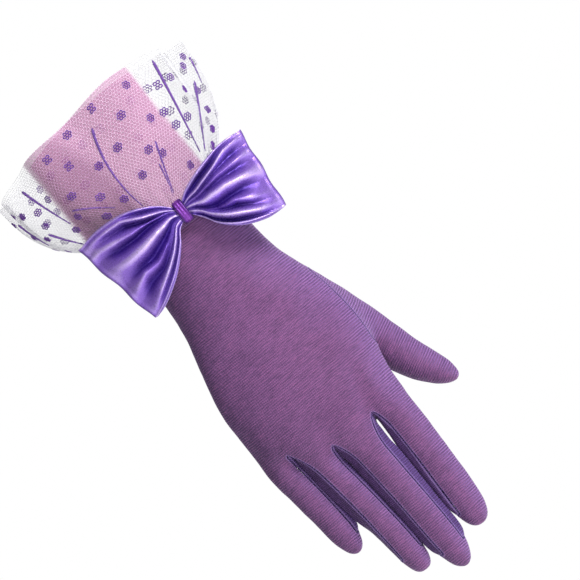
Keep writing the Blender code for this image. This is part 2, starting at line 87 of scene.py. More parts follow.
FINGER_BACK = 4
FINGER_SIDE = 4
SIDE_ANGLE = 30.0

Finger = namedtuple("Finger", "name length breadth depth taper root_y tip_y root_roll tip_roll dome")
FINGERS = (
    Finger("little", 0.0573, 0.0148, 0.0138, 0.95, 0.0042, 0.0090, -2.0, -2.0, 0.0022),
    Finger("ring", 0.0736, 0.0146, 0.0148, 0.60, 0.0012, 0.0066, -16.0, 4.0, 0.0026),
    Finger("middle", 0.0792, 0.0180, 0.0162, 1.00, -0.0006, 0.0046, 3.0, -4.0, 0.0028),
    Finger("index", 0.0718, 0.0174, 0.0158, 0.75, 0.0000, 0.0042, -6.0, 0.0, 0.0026),
)
MIDDLE = 2
Gap = namedtuple("Gap", "name root half tip")
GAPS = (
    Gap("little_ring", 0.0018, 0.0036, 0.0071),
    Gap("ring_middle", 0.0032, 0.0018, 0.0027),
    Gap("middle_index", 0.0021, 0.0016, 0.0029),
)
LEAN_PLACES = (0.22, 0.55, 1.0)
LEAN_NARROWING = (1.0, 0.955, 0.80)
MIDDLE_LEAN = (0.0050, 0.0060, 0.0065)
CURL_LATE = 1.6
INDEX_SIDE_ARCH = 0.085
LITTLE_SIDE_ARCH = 0.075
PAD_ARCH = 0.8
Web = namedtuple("Web", "name across_back across_palm back palm back_down palm_down")
WEBS = (
    Web("ulnar_edge", -0.968, -0.925, -0.060, 0.880, 0.890, 0.925),
    Web("little_ring", -0.695, -0.590, 0.600, 0.850, 0.955, 0.985),
    Web("ring_middle", -0.197, -0.184, 0.730, 0.840, 1.033, 1.063),
    Web("middle_index", 0.419, 0.412, 0.740, 0.810, 1.025, 1.060),
    Web("radial_edge", 0.815, 0.830, 0.570, 0.640, 0.985, 1.010),
)
Section = namedtuple("Section", "down ulnar radial back palm square knuckle")
PALM_SECTIONS = (
    Section(0.000, None, None, 1.000, 1.000, 2.00, 0.0),
    Section(0.120, None, None, 0.975, 0.975, 2.00, 0.0),
    Section(0.240, 0.700, 0.722, 0.935, 0.950, 2.10, 0.0),
    Section(0.350, 0.727, 0.780, 0.885, 0.950, 2.15, 0.0),
    Section(0.455, 0.785, 0.915, 0.845, 0.960, 2.20, 0.0),
    Section(0.560, 0.870, 0.995, 0.810, 0.945, 2.30, 0.0),
    Section(0.655, 0.950, 1.030, 0.785, 0.910, 2.35, 0.0),
    Section(0.745, 1.003, 1.052, 0.765, 0.860, 2.40, 0.06),
    Section(0.835, 1.020, 1.045, 0.745, 0.800, 2.40, 0.25),
    Section(0.920, 1.015, 0.960, 0.725, 0.745, 2.40, 0.60),
)
Along = namedtuple("Along", "along breadth seam")
FINGER_SECTIONS = (
    Along(0.165, 1.045, 45.0),
    Along(0.270, 1.020, 45.0),
    Along(0.390, 0.990, 45.0),
    Along(0.520, 0.965, 44.0),
    Along(0.660, 0.930, 42.0),
    Along(0.780, 0.875, 38.0),
    Along(0.870, 0.775, 33.0),
    Along(0.930, 0.620, 36.0),
    Along(0.968, 0.450, 42.0),
    Along(0.989, 0.260, 45.0),
    Along(0.999, 0.080, 45.0),
)
FOURCHETTE_END = 0.870
ROOT_SHARES = (0.34, 0.68)
THUMB_ROWS = (4, 8)
THUMB_COLUMNS = (17, 23)
THUMB_SECTIONS = (
    (0.00, 1.00),
    (0.20, 0.97),
    (0.40, 0.91),
    (0.58, 0.82),
    (0.74, 0.70),
    (0.87, 0.53),
    (0.955, 0.32),
    (0.992, 0.14),
)
THUMB_STEPS = 40
THUMB_LIFT = 0.16
THUMB_ROUND = 0.55
THUMB_TURN = 5.0
THUMB_PULL = 0.45
THUMB_BASE_SHARES = (0.24, 0.50, 0.76)

Flare = namedtuple("Flare", "up spread front back ruffle")
CUFF_SECTIONS = (
    Flare(0.02, 0.00, 0.00, 0.00, 0.00),
    Flare(0.10, 0.13, 0.00, 0.06, 0.02),
    Flare(0.20, 0.37, 0.03, 0.20, 0.07),
    Flare(0.32, 0.62, 0.20, 0.42, 0.32),
    Flare(0.48, 0.81, 0.48, 0.64, 0.62),
    Flare(0.67, 0.93, 0.75, 0.84, 0.85),
    Flare(0.85, 0.98, 0.91, 0.95, 0.95),
    Flare(1.00, 1.00, 1.00, 1.00, 1.00),
)
FLUTES = ((9, 0.62, 20.0), (5, 0.26, 75.0), (14, 0.12, 140.0))

Wing = namedtuple("Wing", "along ulnar_top ulnar_bottom radial_top radial_bottom front back pleat")
WING_SECTIONS = (
    Wing(0.10, 0.185, 0.130, 0.148, 0.180, 0.46, 0.86, 0.10),
    Wing(0.20, 0.258, 0.240, 0.187, 0.315, 0.68, 0.74, 0.45),
    Wing(0.35, 0.328, 0.370, 0.230, 0.435, 0.92, 0.64, 0.90),
    Wing(0.50, 0.367, 0.474, 0.262, 0.512, 1.00, 0.62, 1.00),
    Wing(0.70, 0.384, 0.577, 0.288, 0.572, 0.93, 0.62, 0.85),
    Wing(0.85, 0.372, 0.633, 0.288, 0.591, 0.74, 0.58, 0.60),
    Wing(0.955, 0.344, 0.655, 0.275, 0.593, 0.46, 0.40, 0.42),
)
END_FOLD = Wing(1.00, 0.330, 0.660, 0.268, 0.592, 0.06, -0.06, 0.30)
ULNAR_SKEW = 0.095
RADIAL_SKEW = 0.065
EDGE_FLAT = 0.35

TAG = "panel"
HAND, RING_LITTLE, MIDDLE_RING, INDEX_MIDDLE, THUMB = range(5)
STRIPS = {RING_LITTLE, MIDDLE_RING, INDEX_MIDDLE}

# Sizes that only the looks have

KNIT = 0.0006
PANEL_GAP = 0.00016
LIP_NEAR = 0.00055
LIP_FAR = 0.00065
LIP_DOWN = 0.00034
LIP_UP = 0.00030
STRIP_LIP_UP = 0.00012

NET_COLUMNS = 184
NET_ROWS = 56
NET_STRAND = 0.00023
DOT_STRAND = 0.00062
DOT_TIGHT = 0.82
DOT_REACH = 0.00185
VEIL_COLUMNS = 148
VEIL_ROWS = 26
VEIL_INSIDE = 0.00010

# Woven dots on the front half of the cuff: millimetres across and up
FRONT_DOTS = (
    (-27, 55), (-11.5, 58.5), (3.5, 60), (22, 59.5), (12.5, 49.5), (-21, 47), (-10, 38.5), (-28.5, 36),
    (1, 40), (22, 40.5), (-18.5, 28), (-31, 27), (-22, 20), (-9.5, 20.5), (12, 30.5), (15.5, 25), (3, 23),
    (22.5, 14.5), (-54.5, 46.5), (-51, 43), (-43.5, 40.5), (-37.5, 42), (-45, 33.5), (-48.5, 28.5),
    (-45, 19), (-36, 23.5), (32.5, 50), (40, 49.5), (50, 55), (47, 51), (41.5, 42.5), (46, 38),
    (28.5, 32.5), (34, 32), (44, 29), (40, 21.5), (35, 15), (27.5, 39.5),
)
# Narrow folds of the net on the same half, from their upper ends down: millimetres across and up, and breadth
FOLDS = (
    ((-44, 52), (-41, 40), (-36, 27), 1.1),
    ((-47, 30), (-42, 22), (-36, 15), 1.0),
    ((-1.6, 54), (-10.5, 34.5), (-5.9, 13), 1.1),
    ((16.5, 32), (12, 20), (8.5, 9), 0.9),
    ((11.5, 23), (10, 15), (7.5, 8), 0.6),
    ((-32, 31), (-24, 27), (-16, 20), 0.7),
    ((38, 61), (34, 38), (29, 16), 1.2),
    ((47, 43), (39, 28), (31, 15), 1.2),
    ((-55, 42), (-53.5, 34), (-50, 26), 0.8),
    ((52, 53), (51, 46), (49, 40), 0.8),
)


def mix(a, b, share):
    return a + (b - a) * share


def through(share, knots):
    """A smooth value along (share, value) knots: a quadratic through three of them."""
    (s0, v0), (s1, v1), (s2, v2) = knots
    first = (share - s1) * (share - s2) / ((s0 - s1) * (s0 - s2))
    second = (share - s0) * (share - s2) / ((s1 - s0) * (s1 - s2))
    third = (share - s0) * (share - s1) / ((s2 - s0) * (s2 - s1))
    return v0 * first + v1 * second + v2 * third


def eased(rows, place):
    """A row between the rows of a table, on a smooth curve through them. The first column is the place."""
    place = min(max(place, rows[0][0]), rows[-1][0])
    i = max(j for j in range(len(rows) - 1) if rows[j][0] <= place or j == 0)
    a, b = rows[i], rows[i + 1]
    before = rows[i - 1] if i > 0 else a
    after = rows[i + 2] if i + 2 < len(rows) else b
    span = b[0] - a[0]
    t = (place - a[0]) / span
    values = []
    for k in range(len(a)):
        slope_a = (b[k] - before[k]) / (b[0] - before[0]) * span
        slope_b = (after[k] - a[k]) / (after[0] - a[0]) * span
        values.append(
            (2 * t**3 - 3 * t**2 + 1) * a[k]
            + (t**3 - 2 * t**2 + t) * slope_a
            + (3 * t**2 - 2 * t**3) * b[k]
            + (t**3 - t**2) * slope_b
        )
    return type(a)(*values)


def oval(degrees, half_x, half_y, square=2.0):
    """A point of a superellipse, with -Y at 90 degrees and +X at 0."""
    c, s = math.cos(math.radians(degrees)), math.sin(math.radians(degrees))
    power = 2.0 / square
    return Vector((math.copysign(abs(c) ** power * half_x, c), -math.copysign(abs(s) ** power * half_y, s)))


def spaced(start, stop, count):
    """count values from start, leaving out stop."""
    return [mix(start, stop, i / count) for i in range(count)]


# The hand's skin, as the part lofts it


def finger_x(index, share):
    """How far across the hand a finger's middle lies at a place along it. The fingers lean a little."""
    places = []
    step = 1 if index > MIDDLE else -1
    for column, (along, narrowing, x) in enumerate(zip(LEAN_PLACES, LEAN_NARROWING, MIDDLE_LEAN)):
        for other in range(MIDDLE, index, step):
            pair = FINGERS[other].breadth + FINGERS[other + step].breadth
            x += step * (pair / 2 * narrowing + GAPS[min(other, other + step)][1 + column])
        places.append((along, x))
    return through(share, places)


def knuckle_half():
    return (sum(f.breadth for f in FINGERS) + sum(g.root for g in GAPS)) / 2 + PALM_SPREAD


def seam_angles(seam):
    """Angles round a finger: back from the little finger's side, side, palm, side."""
    return (
        spaced(180 - seam, seam, FINGER_BACK)
        + spaced(seam, -seam, FINGER_SIDE)
        + spaced(-seam, seam - 180, FINGER_BACK)
        + spaced(seam - 180, -180 - seam, FINGER_SIDE)
    )


def web_points(web):
    """The back and palm ends of the line where two fingers part."""
    half = knuckle_half()
    back = Vector((web.across_back * half, -web.back * PALM_DEPTH / 2, -web.back_down * PALM_LENGTH))
    palm = Vector((web.across_palm * half, web.palm * PALM_DEPTH / 2, -web.palm_down * PALM_LENGTH))
    return back, palm


def arched(start, end, height, count, outward):
    """Points from start, leaving out end, along a low arch that stands off the straight line between them."""
    line = end - start
    off = Vector((line.y, -line.x, 0)).normalized()
    off *= height if off.dot(outward) > 0 else -height
    return [mix(start, end, i / count) + off * math.sin(math.pi * i / count) for i in range(count)]


def knuckle_ring():
    """The palm's last ring: four knuckles over the back, the index side, four pads and the outer side."""
    half = knuckle_half()
    ends = [web_points(web) for web in WEBS]
    ring = []
    for finger, (start, _), (end, _) in zip(FINGERS, ends, ends[1:]):
        ring += arched(start, end, finger.dome, FINGER_BACK, Vector((0, -1, 0)))
    ring += arched(ends[-1][0], ends[-1][1], half * INDEX_SIDE_ARCH, FINGER_SIDE, Vector((1, 0, 0)))
    for finger, (_, end), (_, start) in list(zip(FINGERS, ends, ends[1:]))[::-1]:
        ring += arched(start, end, finger.dome * PAD_ARCH, FINGER_BACK, Vector((0, 1, 0)))
    ring += arched(ends[0][1], ends[0][0], half * LITTLE_SIDE_ARCH, FINGER_SIDE, Vector((-1, 0, 0)))
    return ring


def palm_angles():
    across = FINGER_BACK * len(FINGERS)
    return (
        spaced(180 - SIDE_ANGLE, SIDE_ANGLE, across)
        + spaced(SIDE_ANGLE, -SIDE_ANGLE, FINGER_SIDE)
        + spaced(-SIDE_ANGLE, SIDE_ANGLE - 180, across)
        + spaced(SIDE_ANGLE - 180, -180 - SIDE_ANGLE, FINGER_SIDE)
    )


def palm_ring(section, knuckles):
    """One ring of the palm, partly turned into the knuckle ring."""
    half = knuckle_half()
    ulnar = WRIST_BREADTH / 2 if section.ulnar is None else section.ulnar * half
    radial = WRIST_BREADTH / 2 if section.radial is None else section.radial * half
    ring = []
    for angle, knuckle in zip(palm_angles(), knuckles):
        depth = (section.back if math.sin(math.radians(angle)) > 0 else section.palm) * WRIST_DEPTH / 2
        flat = oval(angle, (radial + ulnar) / 2, depth, section.square)
        flat.x += (radial - ulnar) / 2
        x = mix(flat.x, knuckle.x, section.knuckle)
        y = mix(flat.y, knuckle.y, section.knuckle)
        ring.append(Vector((x, y, section.down * knuckle.z)))
    return ring


def finger_ring(index, base_z, row):
    finger = FINGERS[index]
    curl = mix(finger.root_y, finger.tip_y, row.along**CURL_LATE)
    roll = mix(finger.root_roll, finger.tip_roll, row.along)
    share = row.breadth**finger.taper / 2
    middle_x = finger_x(index, row.along)
    z = base_z - finger.length * row.along
    ring = []
    for angle in seam_angles(row.seam):
        flat = oval(angle + roll, finger.breadth * share, finger.depth * share)
        ring.append(Vector((middle_x + flat.x, curl + flat.y, z)))
    return ring


def carried(bm, ring, points):
    """Extrude a closed ring of vertices to the next section. Gives the new ring and the faces between."""
    count = len(ring)
    edges = [bm.edges.get((ring[i], ring[(i + 1) % count])) for i in range(count)]
    made = bmesh.ops.extrude_edge_only(bm, edges=edges)["geom"]
    fresh = {item for item in made if isinstance(item, bmesh.types.BMVert)}
    following = []
    for vertex, point in zip(ring, points):
        after = next(e.other_vert(vertex) for e in vertex.link_edges if e.other_vert(vertex) in fresh)
        after.co = point
        following.append(after)
    faces = []
    for i in range(count):
        pair = {following[i], following[(i + 1) % count]}
        faces.append(next(f for f in following[i].link_faces if pair <= set(f.verts)))
    return following, faces


def first_ring(bm, points):
    """A closed ring of vertices and edges to start a loft from."""
    ring = [bm.verts.new(point) for point in points]
    for i, vertex in enumerate(ring):
        bm.edges.new((vertex, ring[(i + 1) % len(ring)]))
    return ring


def close_end(bm, ring):
    bmesh.ops.edgeloop_fill(bm, edges=[bm.edges.get((ring[i - 1], ring[i])) for i in range(len(ring))])


def web_line(bm, ring, back_column, palm_column):
    """The line where two fingers part, as a run of new vertices between two of the ring."""
    back, palm = ring[back_column], ring[palm_column]
    inner = []
    for i in range(1, FINGER_SIDE):
        share = i / FINGER_SIDE
        point = mix(back.co, palm.co, math.sin(math.pi / 2 * share))
        point.y = mix(back.co.y, palm.co.y, share)
        inner.append(bm.verts.new(point))
    run = [back, *inner, palm]
    for one, other in zip(run, run[1:]):
        bm.edges.new((one, other))
    return inner


def add_fingers(bm, ring, tag):
    across = FINGER_BACK * len(FINGERS)
    columns = len(ring)
    radial_side = ring[across + 1 : across + FINGER_SIDE]
    ulnar_side = ring[columns - FINGER_SIDE + 1 :]
    webs = [list(reversed(ulnar_side))]
    for number in range(1, len(FINGERS)):
        back_column = number * FINGER_BACK
        webs.append(web_line(bm, ring, back_column, across * 2 + FINGER_SIDE - back_column))
    webs.append(radial_side)
    for index, finger in enumerate(FINGERS):
        start = index * FINGER_BACK
        stop = start + FINGER_BACK
        palm_start = across * 2 + FINGER_SIDE - stop
        loop = ring[start : stop + 1] + webs[index + 1]
        loop += ring[palm_start : palm_start + FINGER_BACK] + [ring[(palm_start + FINGER_BACK) % columns]]
        loop += list(reversed(webs[index]))
        base = [vertex.co.copy() for vertex in loop]
        base_z = sum(point.z for point in base) / len(base)
        full = finger_ring(index, base_z, FINGER_SECTIONS[0])
        sections = []
        for share in ROOT_SHARES:
            points = [mix(b, f, math.sin(math.pi / 2 * share)) for b, f in zip(base, full)]
            for point, b, f in zip(points, base, full):
                point.z = mix(b.z, f.z, share)
            sections.append((share * FINGER_SECTIONS[0].along, points))
        sections += [(row.along, finger_ring(index, base_z, row)) for row in FINGER_SECTIONS]
        for along, points in sections:
            loop, faces = carried(bm, loop, points)
            for face in faces:
                face[tag] = HAND
            if along > FOURCHETTE_END + 1e-6:
                continue
            for side in range(FINGER_SIDE):
                if index + 1 < len(FINGERS):
                    faces[FINGER_BACK + side][tag] = index + 1
                if index > 0:
                    faces[2 * FINGER_BACK + FINGER_SIDE + side][tag] = index
        close_end(bm, loop)


def thumb_axis():
    """Middle points and directions along the thumb, which turns outwards towards its tip."""
    root_z = -PALM_LENGTH * PALM_SECTIONS[THUMB_ROWS[1]].down - WALL
    point = Vector((knuckle_half() + THUMB_REACH, WRIST_DEPTH / 2 + WALL, root_z))
    axis = []
    for i in range(THUMB_STEPS + 1):
        share = i / THUMB_STEPS
        turn = math.radians(THUMB_SPLAY + THUMB_CURVE * share)
        heading = Vector((math.sin(turn), THUMB_LIFT * (1 - share), -math.cos(turn))).normalized()
        axis.append((point.copy(), heading))
        point += heading * THUMB_LENGTH / THUMB_STEPS
    return axis


def thumb_ring(axis, share, breadth, angles):
    middle, heading = axis[round(share * (len(axis) - 1))]
    outward = Vector((-heading.z, 0, heading.x)).normalized()
    upward = heading.cross(outward)
    upward *= -1 if upward.y > 0 else 1
    ring = []
    for angle in angles:
        a = math.radians(angle)
        flat = outward * math.cos(a) * THUMB_BREADTH / 2 + upward * math.sin(a) * THUMB_DEPTH / 2
        ring.append(middle + flat * breadth)
    return ring


def add_thumb(bm, rows, tag):
    """Cut the thumb's hole in the palm and run the thumb out of it."""
    top, bottom = THUMB_ROWS
    left, right = THUMB_COLUMNS
    hole = []
    for r in range(top, bottom):
        for c in range(left, right):
            opposite = rows[r + 1][c + 1]
            hole += [face for face in rows[r][c].link_faces if opposite in face.verts]
    loop = [rows[top][c] for c in range(left, right)]
    loop += [rows[r][right] for r in range(top, bottom)]
    loop += [rows[bottom][c] for c in range(right, left, -1)]
    loop += [rows[r][left] for r in range(bottom, top, -1)]
    bmesh.ops.delete(bm, geom=hole, context="FACES")
    across, along = right - left, bottom - top
    for corner in (0, across, across + along, 2 * across + along):
        chord = (loop[corner - 1].co + loop[corner + 1].co) / 2
        loop[corner].co = mix(loop[corner].co, chord, THUMB_ROUND)
    angles = []
    for quarter, count in enumerate((across, along, across, along)):
        start = THUMB_TURN - 90 * quarter
        angles += spaced(start, start - 90, count)
    axis = thumb_axis()
    full = thumb_ring(axis, 0, 1, angles)
    base = [vertex.co.copy() for vertex in loop]
    sections = []
    for share in THUMB_BASE_SHARES:
        points = []
        for start, end in zip(base, full):
            pull = end - axis[0][1] * (end - start).length * THUMB_PULL
            points.append(start * (1 - share) ** 2 + pull * 2 * share * (1 - share) + end * share**2)
        sections.append(points)
    sections += [thumb_ring(axis, share, breadth, angles) for share, breadth in THUMB_SECTIONS]
    before = set(bm.faces)
    for points in sections:
        loop, _ = carried(bm, loop, points)
    close_end(bm, loop)
    for face in set(bm.faces) - before:
        face[tag] = THUMB


def turned_out(bm, inside):
    """Turn the faces away from a point inside."""
    bmesh.ops.recalc_face_normals(bm, faces=bm.faces)
    nearest = min(bm.faces, key=lambda f: (f.calc_center_median() - inside).length)
    if nearest.normal.dot(nearest.calc_center_median() - inside) < 0:
        bmesh.ops.reverse_faces(bm, faces=bm.faces)
    bm.normal_update()


def glove_skin():
    """The whole outer skin of the hand, tagged by panel."""
    bm = bmesh.new()
    tag = bm.faces.layers.int.new(TAG)
    knuckles = knuckle_ring()
    rows = [first_ring(bm, palm_ring(PALM_SECTIONS[0], knuckles))]
    for section in PALM_SECTIONS[1:]:
        rows.append(carried(bm, rows[-1], palm_ring(section, knuckles))[0])
    rows.append(carried(bm, rows[-1], knuckles)[0])
    add_fingers(bm, rows[-1], tag)
    add_thumb(bm, rows, tag)
    turned_out(bm, Vector((0, 0, -PALM_LENGTH / 2)))
    return bm


# Mesh helpers

SHARPEST_CORNER = 0.18


def mesh_object(bm, name):
    mesh = bpy.data.meshes.new(name)
    bm.to_mesh(mesh)
    bm.free()
    obj = bpy.data.objects.new(name, mesh)
    bpy.context.scene.collection.objects.link(obj)
    return obj


def finished(obj):
    """The object's mesh with its modifiers applied, as a bmesh. The object goes."""
    graph = bpy.context.evaluated_depsgraph_get()
    mesh = bpy.data.meshes.new_from_object(obj.evaluated_get(graph), depsgraph=graph)
    bm = bmesh.new()
    bm.from_mesh(mesh)
    bpy.data.objects.remove(obj)
    bpy.data.meshes.remove(mesh)
    return bm


def rounded(bm):
    """The mesh, subdivided once and smoothed."""
    obj = mesh_object(bm, "rounding")
    smooth = obj.modifiers.new("round", "SUBSURF")
    smooth.levels = smooth.render_levels = 1
    smooth.boundary_smooth = "ALL"
    return finished(obj)


def pull_back_edges(bm, distance):
    """Draw open edges in along their own surface, so that sewn panels keep a small gap."""
    shifts = {}
    for vertex in bm.verts:
        inward = []
        for edge in vertex.link_edges:
            if edge.is_boundary:
                line = (edge.verts[1].co - edge.verts[0].co).normalized()
                to_face = edge.link_faces[0].calc_center_median() - vertex.co
                inward.append((to_face - line * to_face.dot(line)).normalized())
        if inward:
            total = inward[0] + inward[-1]
            shifts[vertex] = total / max(1 + inward[0].dot(inward[-1]), SHARPEST_CORNER)
    for vertex, shift in shifts.items():
        vertex.co += shift * distance


def wall(obj, thickness):
    """Give the cloth its thickness, inwards from the outer face."""
    solid = obj.modifiers.new("wall", "SOLIDIFY")
    solid.thickness = thickness
    solid.offset = -1.0
    solid.use_rim = True


def clamped(value):
    return min(1.0, max(0.0, value))


def shaded(obj, material, slot, *nodes):
    """Give a piece its material and shading, let it ride on the glove, and hide the CAD nodes it stands in
    for.
    """
    obj.data.materials.append(material)
    obj.data.shade_smooth()
    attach(obj, "root")
    if nodes:
        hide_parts(*nodes)
    return obj


# Materials


class Nodes:
    """Short ways to wire a material."""

    def __init__(self, name):
        self.material = bpy.data.materials.new(name)
        self.material.use_nodes = True
        self.tree = self.material.node_tree
        self.shader = self.tree.nodes["Principled BSDF"]

    def put(self, socket, value):
        if isinstance(value, bpy.types.NodeSocket):
            self.tree.links.new(value, socket)
        elif value is not None:
            socket.default_value = value

    def math(self, operation, a, b=None, c=None):
        node = self.tree.nodes.new("ShaderNodeMath")
        node.operation = operation
        for socket, value in zip(node.inputs, (a, b, c)):
            self.put(socket, value)
        return node.outputs[0]

    def object_point(self, turn=(0, 0, 0)):
        coords = self.tree.nodes.new("ShaderNodeTexCoord")
        mapping = self.tree.nodes.new("ShaderNodeMapping")
        mapping.inputs["Rotation"].default_value = [math.radians(a) for a in turn]
        self.put(mapping.inputs["Vector"], coords.outputs["Object"])
        return mapping.outputs[0]

    def stretched(self, vector, scale):
        mapping = self.tree.nodes.new("ShaderNodeMapping")
        mapping.inputs["Scale"].default_value = scale
        self.put(mapping.inputs["Vector"], vector)
        return mapping.outputs[0]

    def axes(self, vector):
        node = self.tree.nodes.new("ShaderNodeSeparateXYZ")
        self.put(node.inputs[0], vector)
        return node.outputs

    def noise(self, vector, scale, detail=2.0, rough=0.5):
        node = self.tree.nodes.new("ShaderNodeTexNoise")
        self.put(node.inputs["Vector"], vector)
        node.inputs["Scale"].default_value = scale
        node.inputs["Detail"].default_value = detail
        node.inputs["Roughness"].default_value = rough
        return node.outputs["Fac"]

    def wave(self, value, pitch, shift=None):
        """A sine from 0 to 1 with the given pitch along value."""
        phase = self.math("MULTIPLY", value, 2 * math.pi / pitch)
        if shift is not None:
            phase = self.math("ADD", phase, shift)
        return self.math("MULTIPLY_ADD", self.math("SINE", phase), 0.5, 0.5)

    def attribute(self, name):
        node = self.tree.nodes.new("ShaderNodeAttribute")
        node.attribute_name = name
        return node.outputs["Fac"]

    def span(self, value, low, high, to_low=0.0, to_high=1.0):
        node = self.tree.nodes.new("ShaderNodeMapRange")
        self.put(node.inputs["Value"], value)
        for name, number in (("From Min", low), ("From Max", high), ("To Min", to_low), ("To Max", to_high)):
            node.inputs[name].default_value = number
        return node.outputs[0]

    def blend(self, share, a, b):
        """Colour a, turned into colour b by a share."""
        node = self.tree.nodes.new("ShaderNodeMix")
        node.data_type = "RGBA"
        self.put(node.inputs["Factor"], share)
        colours = [s for s in node.inputs if s.type == "RGBA"]
        for socket, value in zip(colours, (a, b)):
            self.put(socket, (*value, 1) if isinstance(value, tuple) else value)
        return next(s for s in node.outputs if s.type == "RGBA")

    def layered(self, colour, layers):
        """Lay patterns over a colour, each with its range, the shares at its ends and its own colour."""
        for pattern, (low, high), (to_low, to_high), other in layers:
            colour = self.blend(self.span(pattern, low, high, to_low, to_high), colour, other)
        return colour

    def added(self, *parts):
        """The sum of patterns, each times its weight."""
        total = 0.0
        for pattern, weight in parts:
            total = self.math("MULTIPLY_ADD", pattern, weight, total)
        return total

    def bump(self, height, distance, strength=1.0):
        node = self.tree.nodes.new("ShaderNodeBump")
        node.inputs["Distance"].default_value = distance
        node.inputs["Strength"].default_value = strength
        self.put(node.inputs["Height"], height)
        self.put(self.shader.inputs["Normal"], node.outputs[0])

    def set(self, **values):
        for name, value in values.items():
            self.put(self.shader.inputs[name.replace("_", " ")], value)


WALE = 0.00078
EDGE_RIB = 0.00125
CREASE_TURN = 14
KNUCKLES_LOW = -0.108
KNUCKLES_HIGH = -0.060
KNIT_RELIEF = 0.00022
# Painted highlight on the raised lips beside the seams
LIP_HIGHLIGHT = (0.290, 0.185, 0.440)
SEAM_DARK = (0.024, 0.010, 0.070)


def knit(name, flat, shade, lit, turn=0, rib=0.00108):
    """Sheer nylon knit: uneven ribs across the hand and finer wales along it, with painted shade on the side
    turned to -X and painted light on the side turned to +X.
    """
    n = Nodes(name)
    point = n.object_point((0, turn, 0))
    x, y, z = n.axes(point)
    ribs = n.wave(z, rib, n.math("MULTIPLY", n.noise(point, 120, 3), 9.0))
    wales = n.wave(n.math("ADD", x, y), WALE, n.math("MULTIPLY", n.noise(point, 220, 2), 3.0))
    cloudy = n.noise(point, 38, 3, 0.6)
    streaks = n.noise(n.stretched(point, (0.20, 0.20, 1.0)), 1500, 3, 0.6)
    slanted = n.object_point((0, turn + CREASE_TURN, 0))
    creases = n.noise(n.stretched(slanted, (0.25, 0.25, 1.0)), 330, 2, 0.5)
    speckle = n.noise(point, 2600, 2, 0.7)
    darker = tuple(c * 0.50 for c in shade)
    pink = tuple(c * k for c, k in zip(flat, (1.75, 1.45, 1.25)))
    # Painted shade where the knit turns to -X, painted light where it turns to +X
    colour = n.blend(n.attribute("away"), flat, shade)
    colour = n.blend(n.attribute("toward"), colour, lit)
    colour = n.layered(
        colour,
        (
            (cloudy, (0.35, 0.70), (0.0, 0.20), darker),
            (z, (KNUCKLES_LOW, KNUCKLES_HIGH), (0.20, 0.0), darker),
            (ribs, (0.55, 1.0), (0.0, 0.40), pink),
            (ribs, (0.0, 0.42), (0.34, 0.0), darker),
            (streaks, (0.30, 0.52), (0.4464, 0.0), darker),
            (streaks, (0.55, 0.75), (0.0, 0.324), pink),
            # Painted shade in the troughs of the slanting creases
            (creases, (0.25, 0.50), (0.24, 0.0), darker),
            (wales, (0.0, 0.45), (0.22, 0.0), darker),
            (speckle, (0.35, 0.75), (0.0, 0.26), darker),
        ),
    )
    # Painted highlights on the edge ribs' ridges and painted shade in their grooves, only on the side turned
    # to the light
    edge_ribs = n.wave(z, EDGE_RIB, n.math("MULTIPLY", n.noise(point, 60, 2), 4.0))
    ridge = n.math("MULTIPLY", n.span(edge_ribs, 0.50, 0.95, 0.0, 0.50), n.attribute("toward"))
    groove = n.math("MULTIPLY", n.span(edge_ribs, 0.05, 0.45, 0.55, 0.0), n.attribute("toward"))
    # Painted highlight on the raised lip beside each seam, broken up by the speckle
    lip_highlight = n.math("MULTIPLY", n.span(speckle, 0.3, 0.7, 0.25, 0.75), n.attribute("lip"))
    colour = n.blend(ridge, colour, tuple(c * 1.7 for c in lit))
    colour = n.blend(groove, colour, shade)
    colour = n.blend(lip_highlight, colour, LIP_HIGHLIGHT)
    colour = n.blend(n.attribute("seam"), colour, SEAM_DARK)
    height = n.added((ribs, 0.5), (wales, 0.2), (speckle, 0.4), (streaks, 1.1), (creases, 1.6))
    n.bump(height, KNIT_RELIEF, 0.9)
    n.set(Base_Color=colour, Roughness=n.span(cloudy, 0.3, 0.7, 0.62, 0.78))
    n.set(Sheen_Weight=0.22, Sheen_Roughness=0.4, Sheen_Tint=(0.75, 0.55, 0.95, 1), Specular_IOR_Level=0.25)
    return n.material


SATIN_RELIEF = 0.00004


def satin(name, base, pale, deep, thread=0.00042):
    """Polyester satin: tinted in its gloss, with fine threads across the ribbon, painted shade in the valleys
    of its folds and painted highlights on their ridges and along its edges.
    """
    n = Nodes(name)
    point = n.object_point()
    x, _, z = n.axes(point)
    threads = n.wave(z, thread, n.math("MULTIPLY", n.noise(point, 400, 2), 1.5))
    weft = n.wave(x, thread * 1.3)
    cloudy = n.noise(point, 60, 2)
    lie = n.math("ADD", n.attribute("fold"), n.span(n.noise(point, 130, 2), 0.0, 1.0, -0.10, 0.10))
    # Painted shade deep in the fold valleys and painted highlight on the ridges, by the fold attribute
    colour = n.layered(
        base,
        (
            (cloudy, (0.3, 0.7), (0.0, 0.30), tuple(c * 0.75 for c in base)),
            (lie, (0.12, 0.66), (1.0, 0.0), deep),
            (lie, (0.66, 0.96), (0.0, 0.88), pale),
        ),
    )
    # The weave's threads show paler only on the ridges: painted glints
    weave = n.span(lie, 0.30, 0.75)
    colour = n.blend(n.math("MULTIPLY", n.span(threads, 0.5, 1.0, 0.0, 0.18), weave), colour, pale)
    colour = n.blend(n.math("MULTIPLY", n.span(weft, 0.6, 1.0, 0.0, 0.12), weave), colour, pale)
    # Painted highlight along the rolled long edges
    colour = n.blend(n.attribute("edge"), colour, pale)
    n.bump(n.added((threads, 1.0), (weft, 0.5)), SATIN_RELIEF, 0.6)
    n.set(Base_Color=colour, Roughness=n.span(n.noise(point, 900, 2), 0.3, 0.7, 0.24, 0.34))
    n.set(Metallic=0.40, Specular_Tint=(0.80, 0.68, 1.0, 1), Anisotropic=0.45)
    n.set(Sheen_Weight=0.06, Sheen_Roughness=0.35, Sheen_Tint=(0.80, 0.65, 1.0, 1))
    return n.material


HEM_DARK = (0.13, 0.05, 0.20)
YARN_RELIEF = 0.00005


